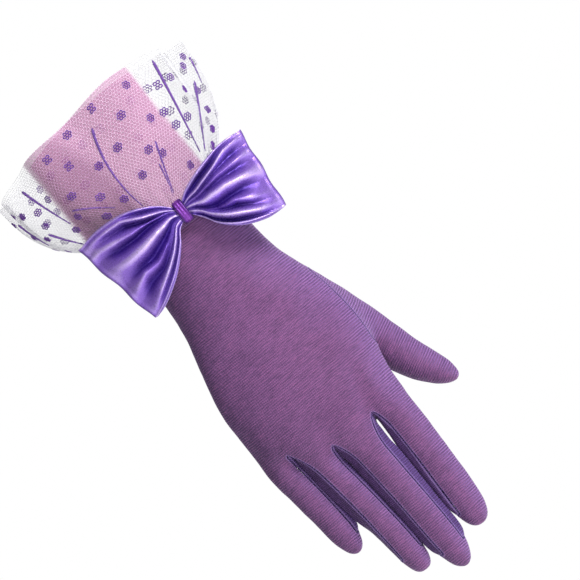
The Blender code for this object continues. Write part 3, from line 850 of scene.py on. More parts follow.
def net_tone(name, middle, shaded_middle, wings, alphas=None, rough=0.65):
    """Lilac net, deeper over the cuff's middle than in its two wings, with painted shade left of its long
    fold.
    """
    n = Nodes(name)
    place = n.attribute("middle")
    fibres = n.noise(n.object_point(), 1500, 2, 0.6)
    colour = n.blend(place, wings, n.blend(n.attribute("shade"), middle, shaded_middle))
    colour = n.blend(n.math("MULTIPLY", n.span(fibres, 0.35, 0.65, 0.0, 0.3), place), colour, shaded_middle)
    colour = n.blend(n.math("MULTIPLY", n.attribute("hem"), 0.85), colour, HEM_DARK)
    n.bump(fibres, YARN_RELIEF, 0.5)
    n.set(Base_Color=colour, Roughness=rough, Sheen_Weight=0.2, Specular_IOR_Level=0.3)
    if alphas:
        n.set(Alpha=n.span(place, 0.0, 1.0, *alphas))
    return n.material


def yarn(name, light, dark, rough=0.65):
    """Fine thread, lighter and darker along its length."""
    n = Nodes(name)
    point = n.object_point()
    fibres = n.noise(point, 1500, 2, 0.6)
    patches = n.noise(point, 90, 2)
    colour = n.blend(n.span(fibres, 0.35, 0.65), light, dark)
    colour = n.blend(n.span(patches, 0.3, 0.7, 0.0, 0.45), colour, dark)
    n.bump(fibres, YARN_RELIEF, 0.5)
    n.set(Base_Color=colour, Roughness=rough, Sheen_Weight=0.2, Specular_IOR_Level=0.3)
    return n.material


# The hand, thumb and side strips

FULLER = 0.00022
FULLER_FROM = 0.012
FULLER_OVER = 0.020
STRIP_GAP = -0.0002
STRIP_PUFF = 0.0024
STRIP_REACH = 0.006
STRIP_FAR = 0.0076
STRIP_NEAR = 0.0046
STRIP_SEAM = 0.7
SLIVER = 0.0008
SLIVER_DOWN = -0.1400
RAY_START = 0.0003


def puffed(vertex, tree, tag):
    """How far a side strip's vertex puffs towards the next finger, or None where it doesn't. The gap stays
    open by a sliver near the web of the index and middle fingers.
    """
    tags = {face[tag] for face in vertex.link_faces}
    way = Vector((vertex.normal.x, vertex.normal.y * 0.3, 0))
    if not tags <= STRIPS or way.length < 0.5:
        return None
    way.normalize()
    distance = tree.ray_cast(vertex.co + way * RAY_START, way, STRIP_REACH)[3]
    if distance is None:
        return None
    around = [edge.other_vert(vertex) for edge in vertex.link_edges]
    near_seam = any(face[tag] not in STRIPS for other in around for face in other.link_faces)
    gap = SLIVER if INDEX_MIDDLE in tags and vertex.co.z > SLIVER_DOWN else STRIP_GAP
    room = min(STRIP_PUFF, max(0.0, (distance - gap) / 2))
    room *= clamped((STRIP_FAR - distance) / (STRIP_FAR - STRIP_NEAR))
    return way * room * (STRIP_SEAM if near_seam else 1.0)


def filled_out(bm):
    """Make up for what smoothing takes off the fingers, and let the side strips puff out."""
    tag = bm.faces.layers.int[TAG]
    bm.normal_update()
    tree = BVHTree.FromBMesh(bm)
    moves = []
    for vertex in bm.verts:
        move = puffed(vertex, tree, tag)
        if move is None:
            move = vertex.normal * FULLER * clamped((-vertex.co.z - FULLER_FROM) / FULLER_OVER)
        moves.append(move)
    for vertex, move in zip(bm.verts, moves):
        vertex.co += move
    bm.normal_update()
    return bm


def lipped(bm, up):
    """Turn a panel's open edges in, with a soft lip beside them, and mark both."""
    seam = bm.verts.layers.float.new("seam")
    lip = bm.verts.layers.float.new("lip")
    inner = bm.faces[:]
    rims = []
    for width in (LIP_NEAR, LIP_FAR):
        inset = {"thickness": width, "use_boundary": True, "use_even_offset": False}
        rims.append(bmesh.ops.inset_region(bm, faces=inner, **inset)["faces"])
        taken = set(rims[-1])
        inner = [face for face in inner if face not in taken]
    bm.normal_update()
    shifts = {vertex: -LIP_DOWN for vertex in bm.verts if vertex.is_boundary}
    for vertex in shifts:
        vertex[seam] = 1.0
    for face in rims[0]:
        for vertex in face.verts:
            if not vertex.is_boundary:
                shifts[vertex] = up
                vertex[lip] = 1.0
    for vertex, shift in shifts.items():
        vertex.co += vertex.normal * shift


WRINKLE = 0.00026
PUCKER = 0.00018


def wrinkled(bm):
    """Small rises and dips of worn knit, and puckers along the seams. Marks painted shade where it faces -X
    and painted light where it faces +X.
    """
    seam = bm.verts.layers.float["seam"]
    lip = bm.verts.layers.float["lip"]
    away = bm.verts.layers.float.new("away")
    toward = bm.verts.layers.float.new("toward")
    bm.normal_update()
    for vertex in bm.verts:
        p = vertex.co
        soft = noise.noise(p * 95.0) + 0.5 * noise.noise(p * 210.0)
        tight = noise.noise(p * 620.0)
        blotch = 0.12 * noise.noise(p * 60.0)
        # Masks of painted shade on the faces turned to -X and painted light on those turned to +X, a little
        # blotchy
        vertex[away] = clamped(-vertex.normal.x * 1.1 + blotch)
        vertex[toward] = clamped(vertex.normal.x * 1.1 - 0.15 + blotch)
        near = max(vertex[seam], 0.5 * vertex[lip])
        vertex.co = p + vertex.normal * (WRINKLE * soft * (1 - near) + PUCKER * tight * near)


def make_panel(skin, number, name, node, material, slot, lip_up):
    """One sewn panel, cut from the skin by its number."""
    bm = skin.copy()
    tag = bm.faces.layers.int[TAG]
    bmesh.ops.delete(bm, geom=[f for f in bm.faces if f[tag] != number], context="FACES")
    pull_back_edges(bm, PANEL_GAP / 2)
    lipped(bm, lip_up)
    bm = rounded(bm)
    wrinkled(bm)
    panel = mesh_object(bm, name)
    wall(panel, KNIT)
    return shaded(panel, material, slot, node)


STITCH_PITCH = 0.0019
STITCH_LONG = 0.0015
STITCH_THICK = 0.00034
STITCH_SUNK = 0.00006
STITCH_SLANT = 1.1
STITCH_ORDER = Vector((0.618, 0.314, 1.0))


def stitch(bm, place, along, normal, length, breadth):
    """A small rounded bar that lies along a direction on the surface."""
    along = (along - normal * along.dot(normal)).normalized()
    across = normal.cross(along)
    turn = Matrix((along, across, normal)).transposed().to_4x4()
    size = Matrix.Diagonal((length / 2, breadth / 2, breadth / 2, 1))
    put = Matrix.Translation(place) @ turn @ size
    bmesh.ops.create_uvsphere(bm, u_segments=6, v_segments=4, radius=1, matrix=put)


def make_seam_stitches(skin):
    """Slanting stitches that cross every seam between two panels. The edges are walked in the order of their
    places, because Blender gives them in another order each time and the dice would fall differently.
    """
    dice = random.Random(7)
    tag = skin.faces.layers.int[TAG]
    bm = bmesh.new()
    seams = []
    for edge in skin.edges:
        if len({face[tag] for face in edge.link_faces}) == 2:
            ends = sorted((vertex.co for vertex in edge.verts), key=STITCH_ORDER.dot)
            normal = (edge.link_faces[0].normal + edge.link_faces[1].normal).normalized()
            seams.append((*ends, normal))
    seams.sort(key=lambda seam: STITCH_ORDER.dot(seam[0] + seam[1]))
    for one, other, normal in seams:
        line = (other - one).normalized()
        count = max(1, round((other - one).length / STITCH_PITCH))
        for i in range(count):
            place = mix(one, other, (i + 0.5) / count) - normal * STITCH_SUNK
            slant = line + normal.cross(line) * (STITCH_SLANT + dice.uniform(-0.3, 0.3))
            stitch(bm, place, slant, normal, STITCH_LONG * dice.uniform(0.85, 1.15), STITCH_THICK)
    return mesh_object(bm, "seam_stitches")


# Knit tones: the hand's own, its painted shade on the -X side and its painted light on the +X side
HAND_FLAT = (0.204, 0.078, 0.226)
HAND_SHADE = (0.078, 0.040, 0.126)
HAND_LIT = (0.235, 0.122, 0.350)
# Side strips between the fingers: darker than the hand as painted shade, with painted shade and painted light
# on their sides
STRIP_IN_SHADE = (0.100, 0.048, 0.185)
STRIP_DARK = (0.036, 0.014, 0.076)
STRIP_LIT = (0.120, 0.070, 0.270)
knit_hand = knit("glove_knit_fine", HAND_FLAT, HAND_SHADE, HAND_LIT)
knit_thumb = knit("thumb_knit_fine", HAND_FLAT, HAND_SHADE, HAND_LIT, turn=26)
knit_side = knit("side_knit_shaded", STRIP_IN_SHADE, STRIP_DARK, STRIP_LIT, rib=0.0008)
thread = yarn("seam_thread", (0.090, 0.036, 0.230), (0.030, 0.012, 0.100))

skin = filled_out(rounded(glove_skin()))
hand = make_panel(skin, HAND, "hand", "hand_panel", knit_hand, "glove_knit", LIP_UP)
thumb = make_panel(skin, THUMB, "thumb", "thumb_panel", knit_thumb, "glove_knit", LIP_UP)
for number, pair in enumerate(("ring_little", "middle_ring", "index_middle"), RING_LITTLE):
    names = "side_strip_" + pair, "fourchette_" + pair
    make_panel(skin, number, *names, knit_side, "fourchette_knit", STRIP_LIP_UP)
stitches = shaded(make_seam_stitches(skin), thread, "glove_knit")
skin.free()

# The net cuff

GATHER = 0.00035
GATHER_TUCKS = 46
GATHER_UP = 0.10
GATHER_REACH = 0.16
RIM_DIP = 0.055
RIM_DIP_ACROSS = -0.12
RIM_DIP_REACH = 0.42


def ruffle(angle):
    return sum(part * math.cos(math.radians(count * angle + start)) for count, part, start in FLUTES)


def cuff_point(angle, up, off=0.0):
    """A point off metres outside the cuff's outer face: up is 1 at the rim and just below 0 at the hem."""
    flare = eased(CUFF_SECTIONS, up)
    lap = SEAM_GAP + WALL + off
    half, depth = WRIST_BREADTH / 2 + lap, WRIST_DEPTH / 2 + lap
    c, s = math.cos(math.radians(angle)), math.sin(math.radians(angle))
    gather = GATHER * math.cos(math.radians(GATHER_TUCKS * angle))
    gather *= math.exp(-(((up - GATHER_UP) / GATHER_REACH) ** 2))
    wave = ruffle(angle) * RUFFLE * flare.ruffle + gather
    reach = (CUFF_FRONT if s > 0 else CUFF_BACK) + off
    forward = flare.front if s > 0 else flare.back
    x = c * (mix(half, CUFF_BREADTH / 2 + off, flare.spread) + wave) + CUFF_SHIFT * flare.spread
    y = -s * (mix(depth, reach, forward) + wave)
    drop = RIM_DROP * (c - RIM_PEAK) ** 2 * flare.spread
    height = up * CUFF_HEIGHT
    return Vector((x, y, height * (1 - drop) if up > 0 else height))


MIDDLE_FULL = 0.0305
MIDDLE_EDGE = 0.0325
MIDDLE_SHIFT = -0.0046
HEM_UP = -CUFF_LAP / CUFF_HEIGHT
RIM_UP = 0.995
HEM_TOP = 0.003
HEM_FADE = 0.004
SHADE_LOW = -0.0035
SHADE_HIGH = -0.0190
SHADE_FADE = 0.0075


def rim_up(angle):
    """Where the net ends at its rim: a little lower over the middle of the front."""
    front = max(0.0, math.sin(math.radians(angle)))
    across = math.cos(math.radians(angle))
    dip = math.exp(-(((across - RIM_DIP_ACROSS) / RIM_DIP_REACH) ** 2))
    return RIM_UP - RIM_DIP * min(1.0, front * 1.6) * dip


def cuff_sheet(columns, rows):
    """A flat grid, one unit wide and one high, to be bent to the cuff and closed at the back."""
    bm = bmesh.new()
    bmesh.ops.create_grid(bm, x_segments=columns, y_segments=rows, size=0.5)
    return bm


def bent_to_cuff(bm, off):
    """Bend a flat grid to the cuff, and mark its middle, its hem and the painted shade left of the long fold.
    """
    for vertex in bm.verts:
        angle = 270 + 360 * (vertex.co.x + 0.5)
        vertex.co = cuff_point(angle, mix(HEM_UP, rim_up(angle), vertex.co.y + 0.5), off)
    bmesh.ops.remove_doubles(bm, verts=bm.verts, dist=2e-5)
    turned_out(bm, Vector((0, 0, CUFF_HEIGHT / 2)))
    middle = bm.verts.layers.float.new("middle")
    hem_mark = bm.verts.layers.float.new("hem")
    shade = bm.verts.layers.float.new("shade")
    for vertex in bm.verts:
        place = vertex.co
        out = clamped((abs(place.x - MIDDLE_SHIFT) - MIDDLE_FULL) / (MIDDLE_EDGE - MIDDLE_FULL))
        vertex[middle] = 1 - out * out * (3 - 2 * out)
        vertex[hem_mark] = clamped((HEM_TOP - place.z) / HEM_FADE)
        rise = max(0.0, place.z / CUFF_HEIGHT)
        # Painted shade left of the long fold, fading towards the rim
        dark = clamped((mix(SHADE_LOW, SHADE_HIGH, rise**3) - place.x) / SHADE_FADE)
        vertex[shade] = dark * mix(1.0, 0.40, rise**0.8) + 0.10 * noise.noise(place * 55.0)


def hex_net():
    """Six-sided cells in the flat: a brick bond whose rows of corners are drawn up and down in turn."""
    bm = cuff_sheet(NET_COLUMNS * 2, NET_ROWS)
    step_x, step_y = 1.0 / (NET_COLUMNS * 2), 1.0 / NET_ROWS
    spare = []
    for edge in bm.edges:
        a, b = (v.co for v in edge.verts)
        if abs(a.x - b.x) < step_x / 2 and not edge.is_boundary:
            column = round((a.x + 0.5) / step_x)
            row = round((min(a.y, b.y) + 0.5) / step_y)
            if (column + row) % 2:
                spare.append(edge)
    bmesh.ops.dissolve_edges(bm, edges=spare, use_verts=False)
    for vertex in bm.verts:
        column = round((vertex.co.x + 0.5) / step_x)
        row = round((vertex.co.y + 0.5) / step_y)
        vertex.co.y += step_y / 6 * (-1 if (column + row) % 2 else 1)
        vertex.co.y = min(max(vertex.co.y, -0.5), 0.5)
    return bm


PLACE_ANGLES = 181
PLACE_LEVELS = 101
PLACE_LOWEST = 0.02


def front_places():
    """Where each point of the cuff's front half shows from the front, as a tree over across and up."""
    places = []
    for i in range(PLACE_ANGLES):
        for j in range(PLACE_LEVELS):
            up = mix(PLACE_LOWEST, RIM_UP, j / (PLACE_LEVELS - 1))
            places.append((i, up, cuff_point(i, up)))
    tree = KDTree(len(places))
    for number, (_, _, point) in enumerate(places):
        tree.insert((point.x, 0, point.z), number)
    tree.balance()
    return places, tree


PLACES, FRONT_TREE = front_places()


def on_front(across, up):
    """The angle and height of the cuff's front at a place given in millimetres."""
    number = FRONT_TREE.find((across / 1000, 0, up / 1000))[1]
    return PLACES[number][0], PLACES[number][1]


BACK_DOT_ROWS = ((0.20, 11), (0.40, 13), (0.61, 14), (0.82, 15))
BACK_START = 184
BACK_SPAN = 172


def dot_centres():
    """The front's dots at their chosen places, and the back's in plain staggered rows."""
    centres = [cuff_point(*on_front(across, up)) for across, up in FRONT_DOTS]
    for row, (up, count) in enumerate(BACK_DOT_ROWS):
        for i in range(count):
            angle = BACK_START + BACK_SPAN * (i + 0.5 * (row % 2) + 0.25) / count
            centres.append(cuff_point(angle, up))
    return centres


def stranded(bm, name, thickness):
    """Turn a sheet of cells into strands along their sides."""
    obj = mesh_object(bm, name)
    wires = obj.modifiers.new("strands", "WIREFRAME")
    wires.thickness = thickness
    wires.use_even_offset = False
    wires.use_boundary = True
    wires.use_replace = True
    return obj


def only(bm, kept):
    """A copy with just the faces whose numbers are kept."""
    part = bm.copy()
    part.faces.ensure_lookup_table()
    bmesh.ops.delete(part, geom=[face for face in part.faces if face.index not in kept], context="FACES")
    return part


def make_net():
    """The net's front and back halves, and its dots: the cells about each dot's middle in thicker strands."""
    bm = hex_net()
    bent_to_cuff(bm, 0.0)
    bm.faces.index_update()
    middles = KDTree(len(bm.faces))
    for face in bm.faces:
        middles.insert(face.calc_center_median(), face.index)
    middles.balance()
    dotted = set()
    centres = [middles.find(centre)[0] for centre in dot_centres()]
    near = KDTree(len(centres))
    for number, centre in enumerate(centres):
        near.insert(centre, number)
        dotted |= {cell for _, cell, _ in middles.find_range(centre, DOT_REACH)}
    near.balance()
    front = {face.index for face in bm.faces if face.calc_center_median().y < 0}
    back = {face.index for face in bm.faces} - front
    halves = [
        stranded(only(bm, front), "cuff_net_front", NET_STRAND),
        stranded(only(bm, back), "cuff_net_back", NET_STRAND),
    ]
    rosettes = only(bm, dotted)
    for vertex in rosettes.verts:
        vertex.co = mix(near.find(vertex.co)[0], vertex.co, DOT_TIGHT)
    dots = stranded(rosettes, "cuff_dots", DOT_STRAND)
    bm.free()
    return halves, dots


def make_veil():
    """The haze of the net's finest threads, as one thin see-through sheet just inside the strands."""
    bm = cuff_sheet(VEIL_COLUMNS, VEIL_ROWS)
    bent_to_cuff(bm, -VEIL_INSIDE)
    return mesh_object(bm, "cuff_veil")


FOLD_STEPS = 24
FOLD_SIDES = 8
FOLD_THIN = 0.00006
FOLD_FLAT = 0.55


def fold_path(upper, middle, lower):
    """Points along a fold, from its upper end down, each with its share of the way."""
    path = []
    for i in range(FOLD_STEPS + 1):
        t = i / FOLD_STEPS
        start, bend, end = (1 - t) ** 2, 2 * t * (1 - t), t * t
        across, up = (start * a + bend * b + end * c for a, b, c in zip(upper, middle, lower))
        point = cuff_point(*on_front(across, up))
        point.x, point.z = across / 1000, up / 1000
        path.append((point, t))
    return path


def make_folds():
    """Narrow tucks where the gathered net doubles on itself: broad and round above, running out below."""
    bm = bmesh.new()
    for upper, middle, lower, breadth in FOLDS:
        path = fold_path(upper, middle, lower)
        rings = []
        for i, (point, t) in enumerate(path):
            ahead = path[min(i + 1, FOLD_STEPS)][0] - path[max(i - 1, 0)][0]
            ahead.normalize()
            sideways = ahead.cross(Vector((0, -1, 0))).normalized()
            outward = sideways.cross(ahead).normalized() * FOLD_FLAT
            half = breadth / 1700 * min(1.0, math.sqrt(t / 0.04 + 0.02)) * (1 - 0.70 * t) + FOLD_THIN
            points = []
            for k in range(FOLD_SIDES):
                a = 2 * math.pi * k / FOLD_SIDES
                points.append(point + (sideways * math.cos(a) + outward * math.sin(a)) * half)
            rings.append(carried(bm, rings[-1], points)[0] if rings else first_ring(bm, points))
        close_end(bm, rings[0])
        close_end(bm, rings[-1])
    bmesh.ops.recalc_face_normals(bm, faces=bm.faces)
    return mesh_object(bm, "cuff_folds")


HEM_STITCHES = 72
HEM_LEVELS = ((-0.030, 0.0), (-0.062, 0.5))
HEM_OFF = 0.0001
HEM_STITCH_LONG = 0.0014
HEM_STITCH_THICK = 0.00032


def make_hem_stitches():
    """Two rows of gathering stitches round the lapped hem."""
    bm = bmesh.new()
    for level, stagger in HEM_LEVELS:
        for i in range(HEM_STITCHES):
            angle = 360 * (i + stagger) / HEM_STITCHES
            place = cuff_point(angle, level, HEM_OFF)
            ahead = cuff_point(angle + 1, level, HEM_OFF) - place
            normal = ahead.cross(Vector((0, 0, 1))).normalized()
            stitch(bm, place, ahead, normal, HEM_STITCH_LONG, HEM_STITCH_THICK)
    return mesh_object(bm, "hem_stitches")


# Net tones: over the middle, its painted shade left of the long fold, and in the wings
net_yarn = net_tone("net_yarn", (0.90, 0.66, 0.86), (0.38, 0.16, 0.36), (0.80, 0.80, 0.83))
dot_yarn = yarn("dot_yarn", (0.185, 0.042, 0.385), (0.080, 0.018, 0.200), rough=0.5)
fold_yarn = yarn("fold_yarn", (0.220, 0.085, 0.440), (0.095, 0.042, 0.210))
haze_tones = (0.52, 0.25, 0.41), (0.18, 0.055, 0.135), (0.88, 0.88, 0.90)
net_haze = net_tone("net_haze", *haze_tones, alphas=(0.05, 0.70), rough=0.75)

net_halves, dots = make_net()
for half in net_halves:
    shaded(half, net_yarn, "net", "net_cuff")
shaded(dots, dot_yarn, "net", "net_cuff")
veil = shaded(make_veil(), net_haze, "net", "net_cuff")
folds = shaded(make_folds(), fold_yarn, "net", "net_cuff")
hem = shaded(make_hem_stitches(), thread, "net")

# The satin bow

# Folds of each wing, from its lower edge up: where each lies, from -1 to 1 over the wing's height, and how
# far it rises or sinks, both at five places out from the knot
REACHES = (0.10, 0.30, 0.50, 0.70, 0.90)
ULNAR_FOLDS = (
    ((-1.03, -1.03, -1.03, -1.03, -1.03), (0.55, 0.60, 0.55, 0.45, 0.40)),
    ((-0.90, -0.93, -0.92, -0.93, -0.96), (-0.50, -0.55, -0.55, -0.35, 0.10)),
    ((-0.70, -0.80, -0.80, -0.83, -0.89), (0.85, 0.95, 0.90, 0.60, 0.30)),
    ((-0.56, -0.64, -0.66, -0.56, -0.60), (-0.30, -0.50, -0.75, -0.85, -0.45)),
    ((-0.44, -0.48, -0.48, -0.32, -0.38), (-0.60, -0.55, 0.05, 0.55, 0.50)),
    ((-0.28, -0.30, -0.30, -0.20, -0.14), (-1.00, -1.05, -1.00, -0.75, -0.30)),
    ((-0.10, -0.02, 0.02, 0.08, 0.18), (1.00, 1.00, 0.90, 0.80, 0.50)),
    ((0.20, 0.30, 0.30, 0.37, 0.52), (-0.85, -1.00, -1.00, -0.85, -0.35)),
    ((0.32, 0.40, 0.45, 0.57, 0.68), (-0.45, -0.20, 0.35, 0.65, 0.70)),
    ((0.42, 0.50, 0.68, 0.73, 0.79), (-0.55, -0.85, -0.75, -0.35, 0.30)),
    ((0.52, 0.63, 0.86, 0.87, 0.89), (0.90, 0.95, 0.75, 0.60, 0.45)),
    ((0.76, 0.82, 0.94, 0.95, 0.96), (-0.70, -0.60, 0.10, 0.10, 0.10)),
    ((0.97, 0.98, 1.04, 1.04, 1.04), (0.60, 0.60, 0.40, 0.30, 0.30)),
)
RADIAL_FOLDS = (
    ((-1.03, -1.03, -1.03, -1.03, -1.03), (0.60, 0.70, 0.60, 0.50, 0.40)),
    ((-0.85, -0.87, -0.87, -0.93, -0.96), (-0.80, -0.85, -0.80, -0.40, 0.00)),
    ((-0.50, -0.62, -0.68, -0.78, -0.82), (0.90, 1.00, 1.00, 0.85, 0.25)),
    ((-0.40, -0.45, -0.44, -0.58, -0.64), (-0.25, -0.55, -0.85, -0.35, 0.10)),
    ((-0.33, -0.36, -0.29, -0.44, -0.50), (-0.45, -0.45, 0.30, 0.65, 0.15)),
    ((-0.25, -0.25, -0.15, -0.13, -0.20), (-0.75, -0.95, -0.95, -0.65, -0.20)),
    ((-0.03, 0.12, 0.15, 0.08, 0.00), (0.95, 0.95, 0.90, 0.85, 0.65)),
    ((0.15, 0.32, 0.35, 0.33, 0.32), (-0.45, -0.60, -0.60, -0.60, -0.55)),
    ((0.28, 0.41, 0.48, 0.46, 0.48), (0.00, 0.05, 0.25, 0.45, 0.40)),
    ((0.38, 0.51, 0.60, 0.64, 0.68), (-0.55, -0.55, -0.45, -0.65, -0.70)),
    ((0.48, 0.61, 0.70, 0.84, 0.86), (0.85, 0.85, 0.85, 0.75, 0.55)),
    ((0.68, 0.78, 0.82, 0.93, 0.95), (-0.90, -0.95, -0.85, -0.30, 0.15)),
    ((0.90, 0.95, 0.97, 1.04, 1.04), (0.60, 0.70, 0.55, 0.35, 0.30)),
)
BOW_ACROSS = 120
FRONT_STEPS = 44
END_STEPS = 9
SATIN = 0.0005
PLEAT_FULL = 0.0030
FINE_PLEAT = 0.00016
BOW_WAVE = 0.010
BOW_INSET = 0.055
BOW_END = 0.97
FRONT_CROWDED = 1.15
# Painted light of the satin: a half-tone on the flat, a highlight at the wing ends and along the long edges
FLAT_LIGHT = 0.42
END_LIGHT = 0.76
EDGE_LIGHT = 0.40


def knot_half():
    return PINCH_HEIGHT / 2 + 2 * SEAM_GAP + WALL, PINCH_DEPTH / 2 + 1.7 * SEAM_GAP + WALL


def knot_place():
    lap = SEAM_GAP + WALL
    near = BOW_OFFSET - KNOT_WIDTH / 2
    front = (WRIST_DEPTH / 2 + lap) * math.sqrt(1 - (near / (WRIST_BREADTH / 2 + lap)) ** 2)
    return Vector((BOW_OFFSET, -(front + SEAM_GAP + knot_half()[1]), 0))


BOW_MIDDLE = knot_place()
PINCHED = PINCH_HEIGHT / 2 / BOW_HEIGHT
PINCH_ROW = Wing(0.0, PINCHED, PINCHED, PINCHED, PINCHED, PINCH_DEPTH / 2 / BOW_DEPTH, 1.0, 0.0)
WING_ROWS = (PINCH_ROW, *WING_SECTIONS)


def fold_rows(folds, along):
    """The folds' places and depths at one distance from the knot."""
    along = min(max(along, REACHES[0]), REACHES[-1])
    i = min(sum(reach < along for reach in REACHES[1:-1]), len(REACHES) - 2)
    t = (along - REACHES[i]) / (REACHES[i + 1] - REACHES[i])
    return [(mix(places[i], places[i + 1], t), mix(depths[i], depths[i + 1], t)) for places, depths in folds]


def fold_depth(side, along, h):
    """How far the satin rises (to 1) or sinks (to -1) in its folds at a place of the bow's front."""
    rows = fold_rows(ULNAR_FOLDS if side < 0 else RADIAL_FOLDS, along)
    for (low, low_depth), (high, high_depth) in zip(rows, rows[1:]):
        if h <= high:
            t = clamped((h - low) / (high - low))
            return mix(low_depth, high_depth, mix(t, t * t * (3 - 2 * t), 0.75))
    return rows[-1][1]


def bow_point(side, row, h, front):
    """A point of the bow's loop: side is -1 or 1 for the wing, and h runs from -1 at the lower edge to 1."""
    share = (h + 1) / 2
    if side < 0:
        top, bottom, length, skew = row.ulnar_top, row.ulnar_bottom, ULNAR_WING, ULNAR_SKEW
    else:
        top, bottom, length, skew = row.radial_top, row.radial_bottom, RADIAL_WING, RADIAL_SKEW
    reach = 1 + skew * h + BOW_WAVE * math.sin(7.0 * h + side) * row.along**3
    x = BOW_MIDDLE.x + side * (KNOT_WIDTH / 2 + length * row.along * reach)
    body = math.sin(math.pi * row.along / BOW_END) ** 0.6 if row.along < BOW_END else 0.0
    inset = 1 - (BOW_INSET if front else 0.0) * body
    z = BOW_MIDDLE.z + BOW_HEIGHT * mix(-bottom, top, share) * mix(1.0, inset, abs(h) ** 3)
    flat = 1 - EDGE_FLAT * h * h
    full = PLEAT_FULL * min(1.0, 0.25 + row.pleat) * min(1.0, row.along / 0.08)
    pleat = full * fold_depth(side, row.along, h)
    fine = FINE_PLEAT * row.pleat * math.sin(math.pi * (3.3 * h + 1.9 * row.along) + side)
    drape = BOW_DRAPE * row.along**2.2
    if front:
        y = BOW_MIDDLE.y + drape - BOW_DEPTH * row.front * flat - pleat - fine
    else:
        y = BOW_MIDDLE.y + drape + PINCH_DEPTH / 2 * row.back * flat + pleat * 0.3
    return Vector((x, y, z))


def fold_light(side, along, h):
    """How far up a fold a place of the bow's front lies, for its painted shade and highlight: 0 in a valley,
    1 on a ridge, a half on the flat; the wing ends get a painted highlight.
    """
    light = clamped(0.5 + 0.5 * fold_depth(side, along, h))
    return mix(light, max(light, END_LIGHT), 0.75 * clamped((along - 0.80) / 0.15))


def wing_run(side, h):
    """Half of the loop at one height: from the knot out along the front, round the end fold and back along
    the rear. Gives its points, each with the painted light of how it lies in its fold.
    """
    last = WING_SECTIONS[-1]
    ways = [last.along * (i / FRONT_STEPS) ** FRONT_CROWDED for i in range(FRONT_STEPS)]
    rows = [eased(WING_ROWS, along) for along in ways]
    run = [(bow_point(side, row, h, True), fold_light(side, along, h)) for row, along in zip(rows, ways)]
    edge_front = bow_point(side, last, h, True)
    edge_back = bow_point(side, last, h, False)
    out = bow_point(side, END_FOLD, h, True).x - (edge_front.x + edge_back.x) / 2
    for i in range(END_STEPS + 1):
        turn = math.pi * i / END_STEPS
        point = mix(edge_front, edge_back, (1 - math.cos(turn)) / 2)
        light = mix(fold_light(side, last.along, h), FLAT_LIGHT, i / END_STEPS)
        run.append((point + Vector((out * math.sin(turn), 0, 0)), light))
    return run + [(bow_point(side, row, h, False), FLAT_LIGHT) for row in rows[::-1]]


def bow_loop(h):
    """The whole loop at one height, from the middle of one end fold round to it again."""
    left = wing_run(-1, h)[::-1]
    half = len(left) // 2
    return left[half:] + wing_run(1, h) + left[:half]


def make_bow():
    """One band of satin, folded to a flat loop, pleated to the pinch and open along its two long edges."""
    bm = bmesh.new()
    edge = bm.verts.layers.float.new("edge")
    fold = bm.verts.layers.float.new("fold")
    ring = None
    for i in range(BOW_ACROSS + 1):
        h = -1 + 2 * i / BOW_ACROSS
        places = bow_loop(h)
        points = [point for point, _ in places]
        ring = carried(bm, ring, points)[0] if ring else first_ring(bm, points)
        for vertex, (_, light) in zip(ring, places):
            # Painted highlight along the long edges, and the painted shade and highlight of the folds
            vertex[edge] = EDGE_LIGHT * max(0.0, (abs(h) - 0.96) / 0.04)
            vertex[fold] = light
    turned_out(bm, BOW_MIDDLE)
    band = mesh_object(bm, "bow")
    wall(band, SATIN)
    return band


# The satin's own tone, its painted highlight on the fold ridges and its painted shade in the valleys
bow_satin = satin("bow_satin", (0.212, 0.102, 0.525), (0.70, 0.54, 0.92), (0.030, 0.008, 0.185))
bow = shaded(make_bow(), bow_satin, "satin", "satin_bow")


KNOT_STEPS = 40
KNOT_ROUND = 64
KNOT_SQUARE = 2.5
KNOT_SWELL = 0.05
KNOT_RIDGE = 0.020


def make_knot():
    """The ribbon wrapped round the pinch: a short sleeve with ridges along the wrap."""
    half_height, half_depth = knot_half()
    bm = bmesh.new()
    fold = bm.verts.layers.float.new("fold")
    ring = None
    for i in range(KNOT_STEPS + 1):
        t = -1 + 2 * i / KNOT_STEPS
        swell = 1.0 + KNOT_SWELL * (1 - t * t)
        points = []
        for angle in spaced(0, 360, KNOT_ROUND):
            wander = 0.5 * math.sin(math.radians(2 * angle))
            ridge = 1 + KNOT_RIDGE * math.cos(math.pi * 3.4 * t + wander)
            flat = oval(angle, half_height * swell * ridge, half_depth * ridge, KNOT_SQUARE)
            points.append(BOW_MIDDLE + Vector((t * KNOT_WIDTH / 2, flat.y, flat.x)))
        ring = carried(bm, ring, points)[0] if ring else first_ring(bm, points)
        for vertex in ring:
            # Painted light: lighter over the middle of the wrap, painted shade towards its ends at the wings
            vertex[fold] = 0.72 - 0.60 * t * t
    turned_out(bm, BOW_MIDDLE)
    sleeve = mesh_object(bm, "knot")
    wall(sleeve, SATIN)
    return sleeve


# The knot's own tone, its painted highlight and its painted shade
knot_tones = (0.150, 0.026, 0.300), (0.34, 0.10, 0.50), (0.022, 0.006, 0.080)
knot_ribbon = satin("knot_ribbon", *knot_tones, thread=0.0003)
knot = shaded(make_knot(), knot_ribbon, "knot_satin", "bow_knot")

# Camera, floor and light

AIM = Vector((0.0217, 0.0, -0.0572))
VIEW_WIDTH = 0.261
VIEW_DISTANCE = 1.8
FLOOR_LEVEL = -0.300
FLOOR_HALF = 0.55
RIGHT = Vector((0.7793, 0.0, -0.6266))
UP = Vector((0.6266, 0.0, 0.7793))


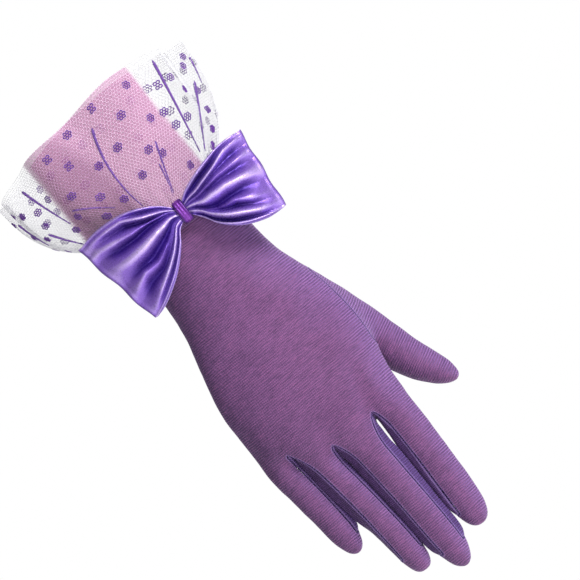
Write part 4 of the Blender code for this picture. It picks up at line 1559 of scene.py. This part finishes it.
def pale_floor():
    """Matt, nearly white, with a faint cloudiness and a glow of its own."""
    n = Nodes("pale_floor")
    grain = n.span(n.noise(n.object_point(), 12, 2), 0.3, 0.7)
    n.set(Base_Color=n.blend(grain, (0.93, 0.93, 0.93), (0.91605, 0.91605, 0.91605)), Roughness=0.95)
    n.set(Emission_Color=(1, 1, 1, 1), Emission_Strength=0.62)
    return n.material


def make_stage():
    """The pale floor well below the fingertips."""
    bm = bmesh.new()
    bmesh.ops.create_grid(bm, x_segments=2, y_segments=2, size=FLOOR_HALF)
    for vertex in bm.verts:
        vertex.co.z = FLOOR_LEVEL
    floor = mesh_object(bm, "floor")
    floor.data.materials.append(pale_floor())


def lamp(name, place, target_z, size, power):
    """A soft rectangular lamp, turned to a point on the glove's axis, target_z metres up."""
    data = bpy.data.lights.new(name, "AREA")
    data.shape = "RECTANGLE"
    data.size, data.size_y = size
    data.energy = power
    obj = bpy.data.objects.new(name, data)
    obj.location = place
    obj.rotation_mode = "QUATERNION"
    obj.rotation_quaternion = (Vector((0, 0, target_z)) - Vector(place)).to_track_quat("-Z", "Y")
    bpy.context.scene.collection.objects.link(obj)


def make_camera():
    data = bpy.data.cameras.new("camera")
    data.sensor_width = 36
    data.lens = data.sensor_width * VIEW_DISTANCE / VIEW_WIDTH
    data.clip_start, data.clip_end = 0.05, 50
    camera = bpy.data.objects.new("camera", data)
    back = RIGHT.cross(UP).normalized()
    turn = Matrix((RIGHT, UP, back)).transposed().to_4x4()
    camera.matrix_world = Matrix.Translation(AIM + back * VIEW_DISTANCE) @ turn
    bpy.context.scene.collection.objects.link(camera)
    bpy.context.scene.camera = camera


def make_studio():
    """White surroundings where the camera looks past the glove, and a softer grey that lights it."""
    world = bpy.data.worlds.new("studio")
    world.use_nodes = True
    tree = world.node_tree
    lit = tree.nodes["Background"]
    lit.inputs["Color"].default_value = (0.97, 0.98, 1.0, 1)
    lit.inputs["Strength"].default_value = 0.20
    seen = tree.nodes.new("ShaderNodeBackground")
    seen.inputs["Color"].default_value = (1.0, 1.0, 1.0, 1)
    path = tree.nodes.new("ShaderNodeLightPath")
    either = tree.nodes.new("ShaderNodeMixShader")
    tree.links.new(path.outputs["Is Camera Ray"], either.inputs[0])
    tree.links.new(lit.outputs[0], either.inputs[1])
    tree.links.new(seen.outputs[0], either.inputs[2])
    tree.links.new(either.outputs[0], tree.nodes["World Output"].inputs["Surface"])
    bpy.context.scene.world = world
    bpy.context.scene.view_settings.view_transform = "Standard"


make_stage()
make_camera()
make_studio()
lamp("key", (0.74, -0.78, 0.48), -0.05, (0.55, 0.50), 15)
lamp("front", (0.1, -1.3, -0.05), -0.05, (0.5, 0.5), 4)
lamp("fill", (-0.9, -0.6, -0.10), -0.08, (0.5, 0.7), 1)
lamp("rear", (0.2, 1.0, 0.5), -0.05, (0.9, 0.7), 9)
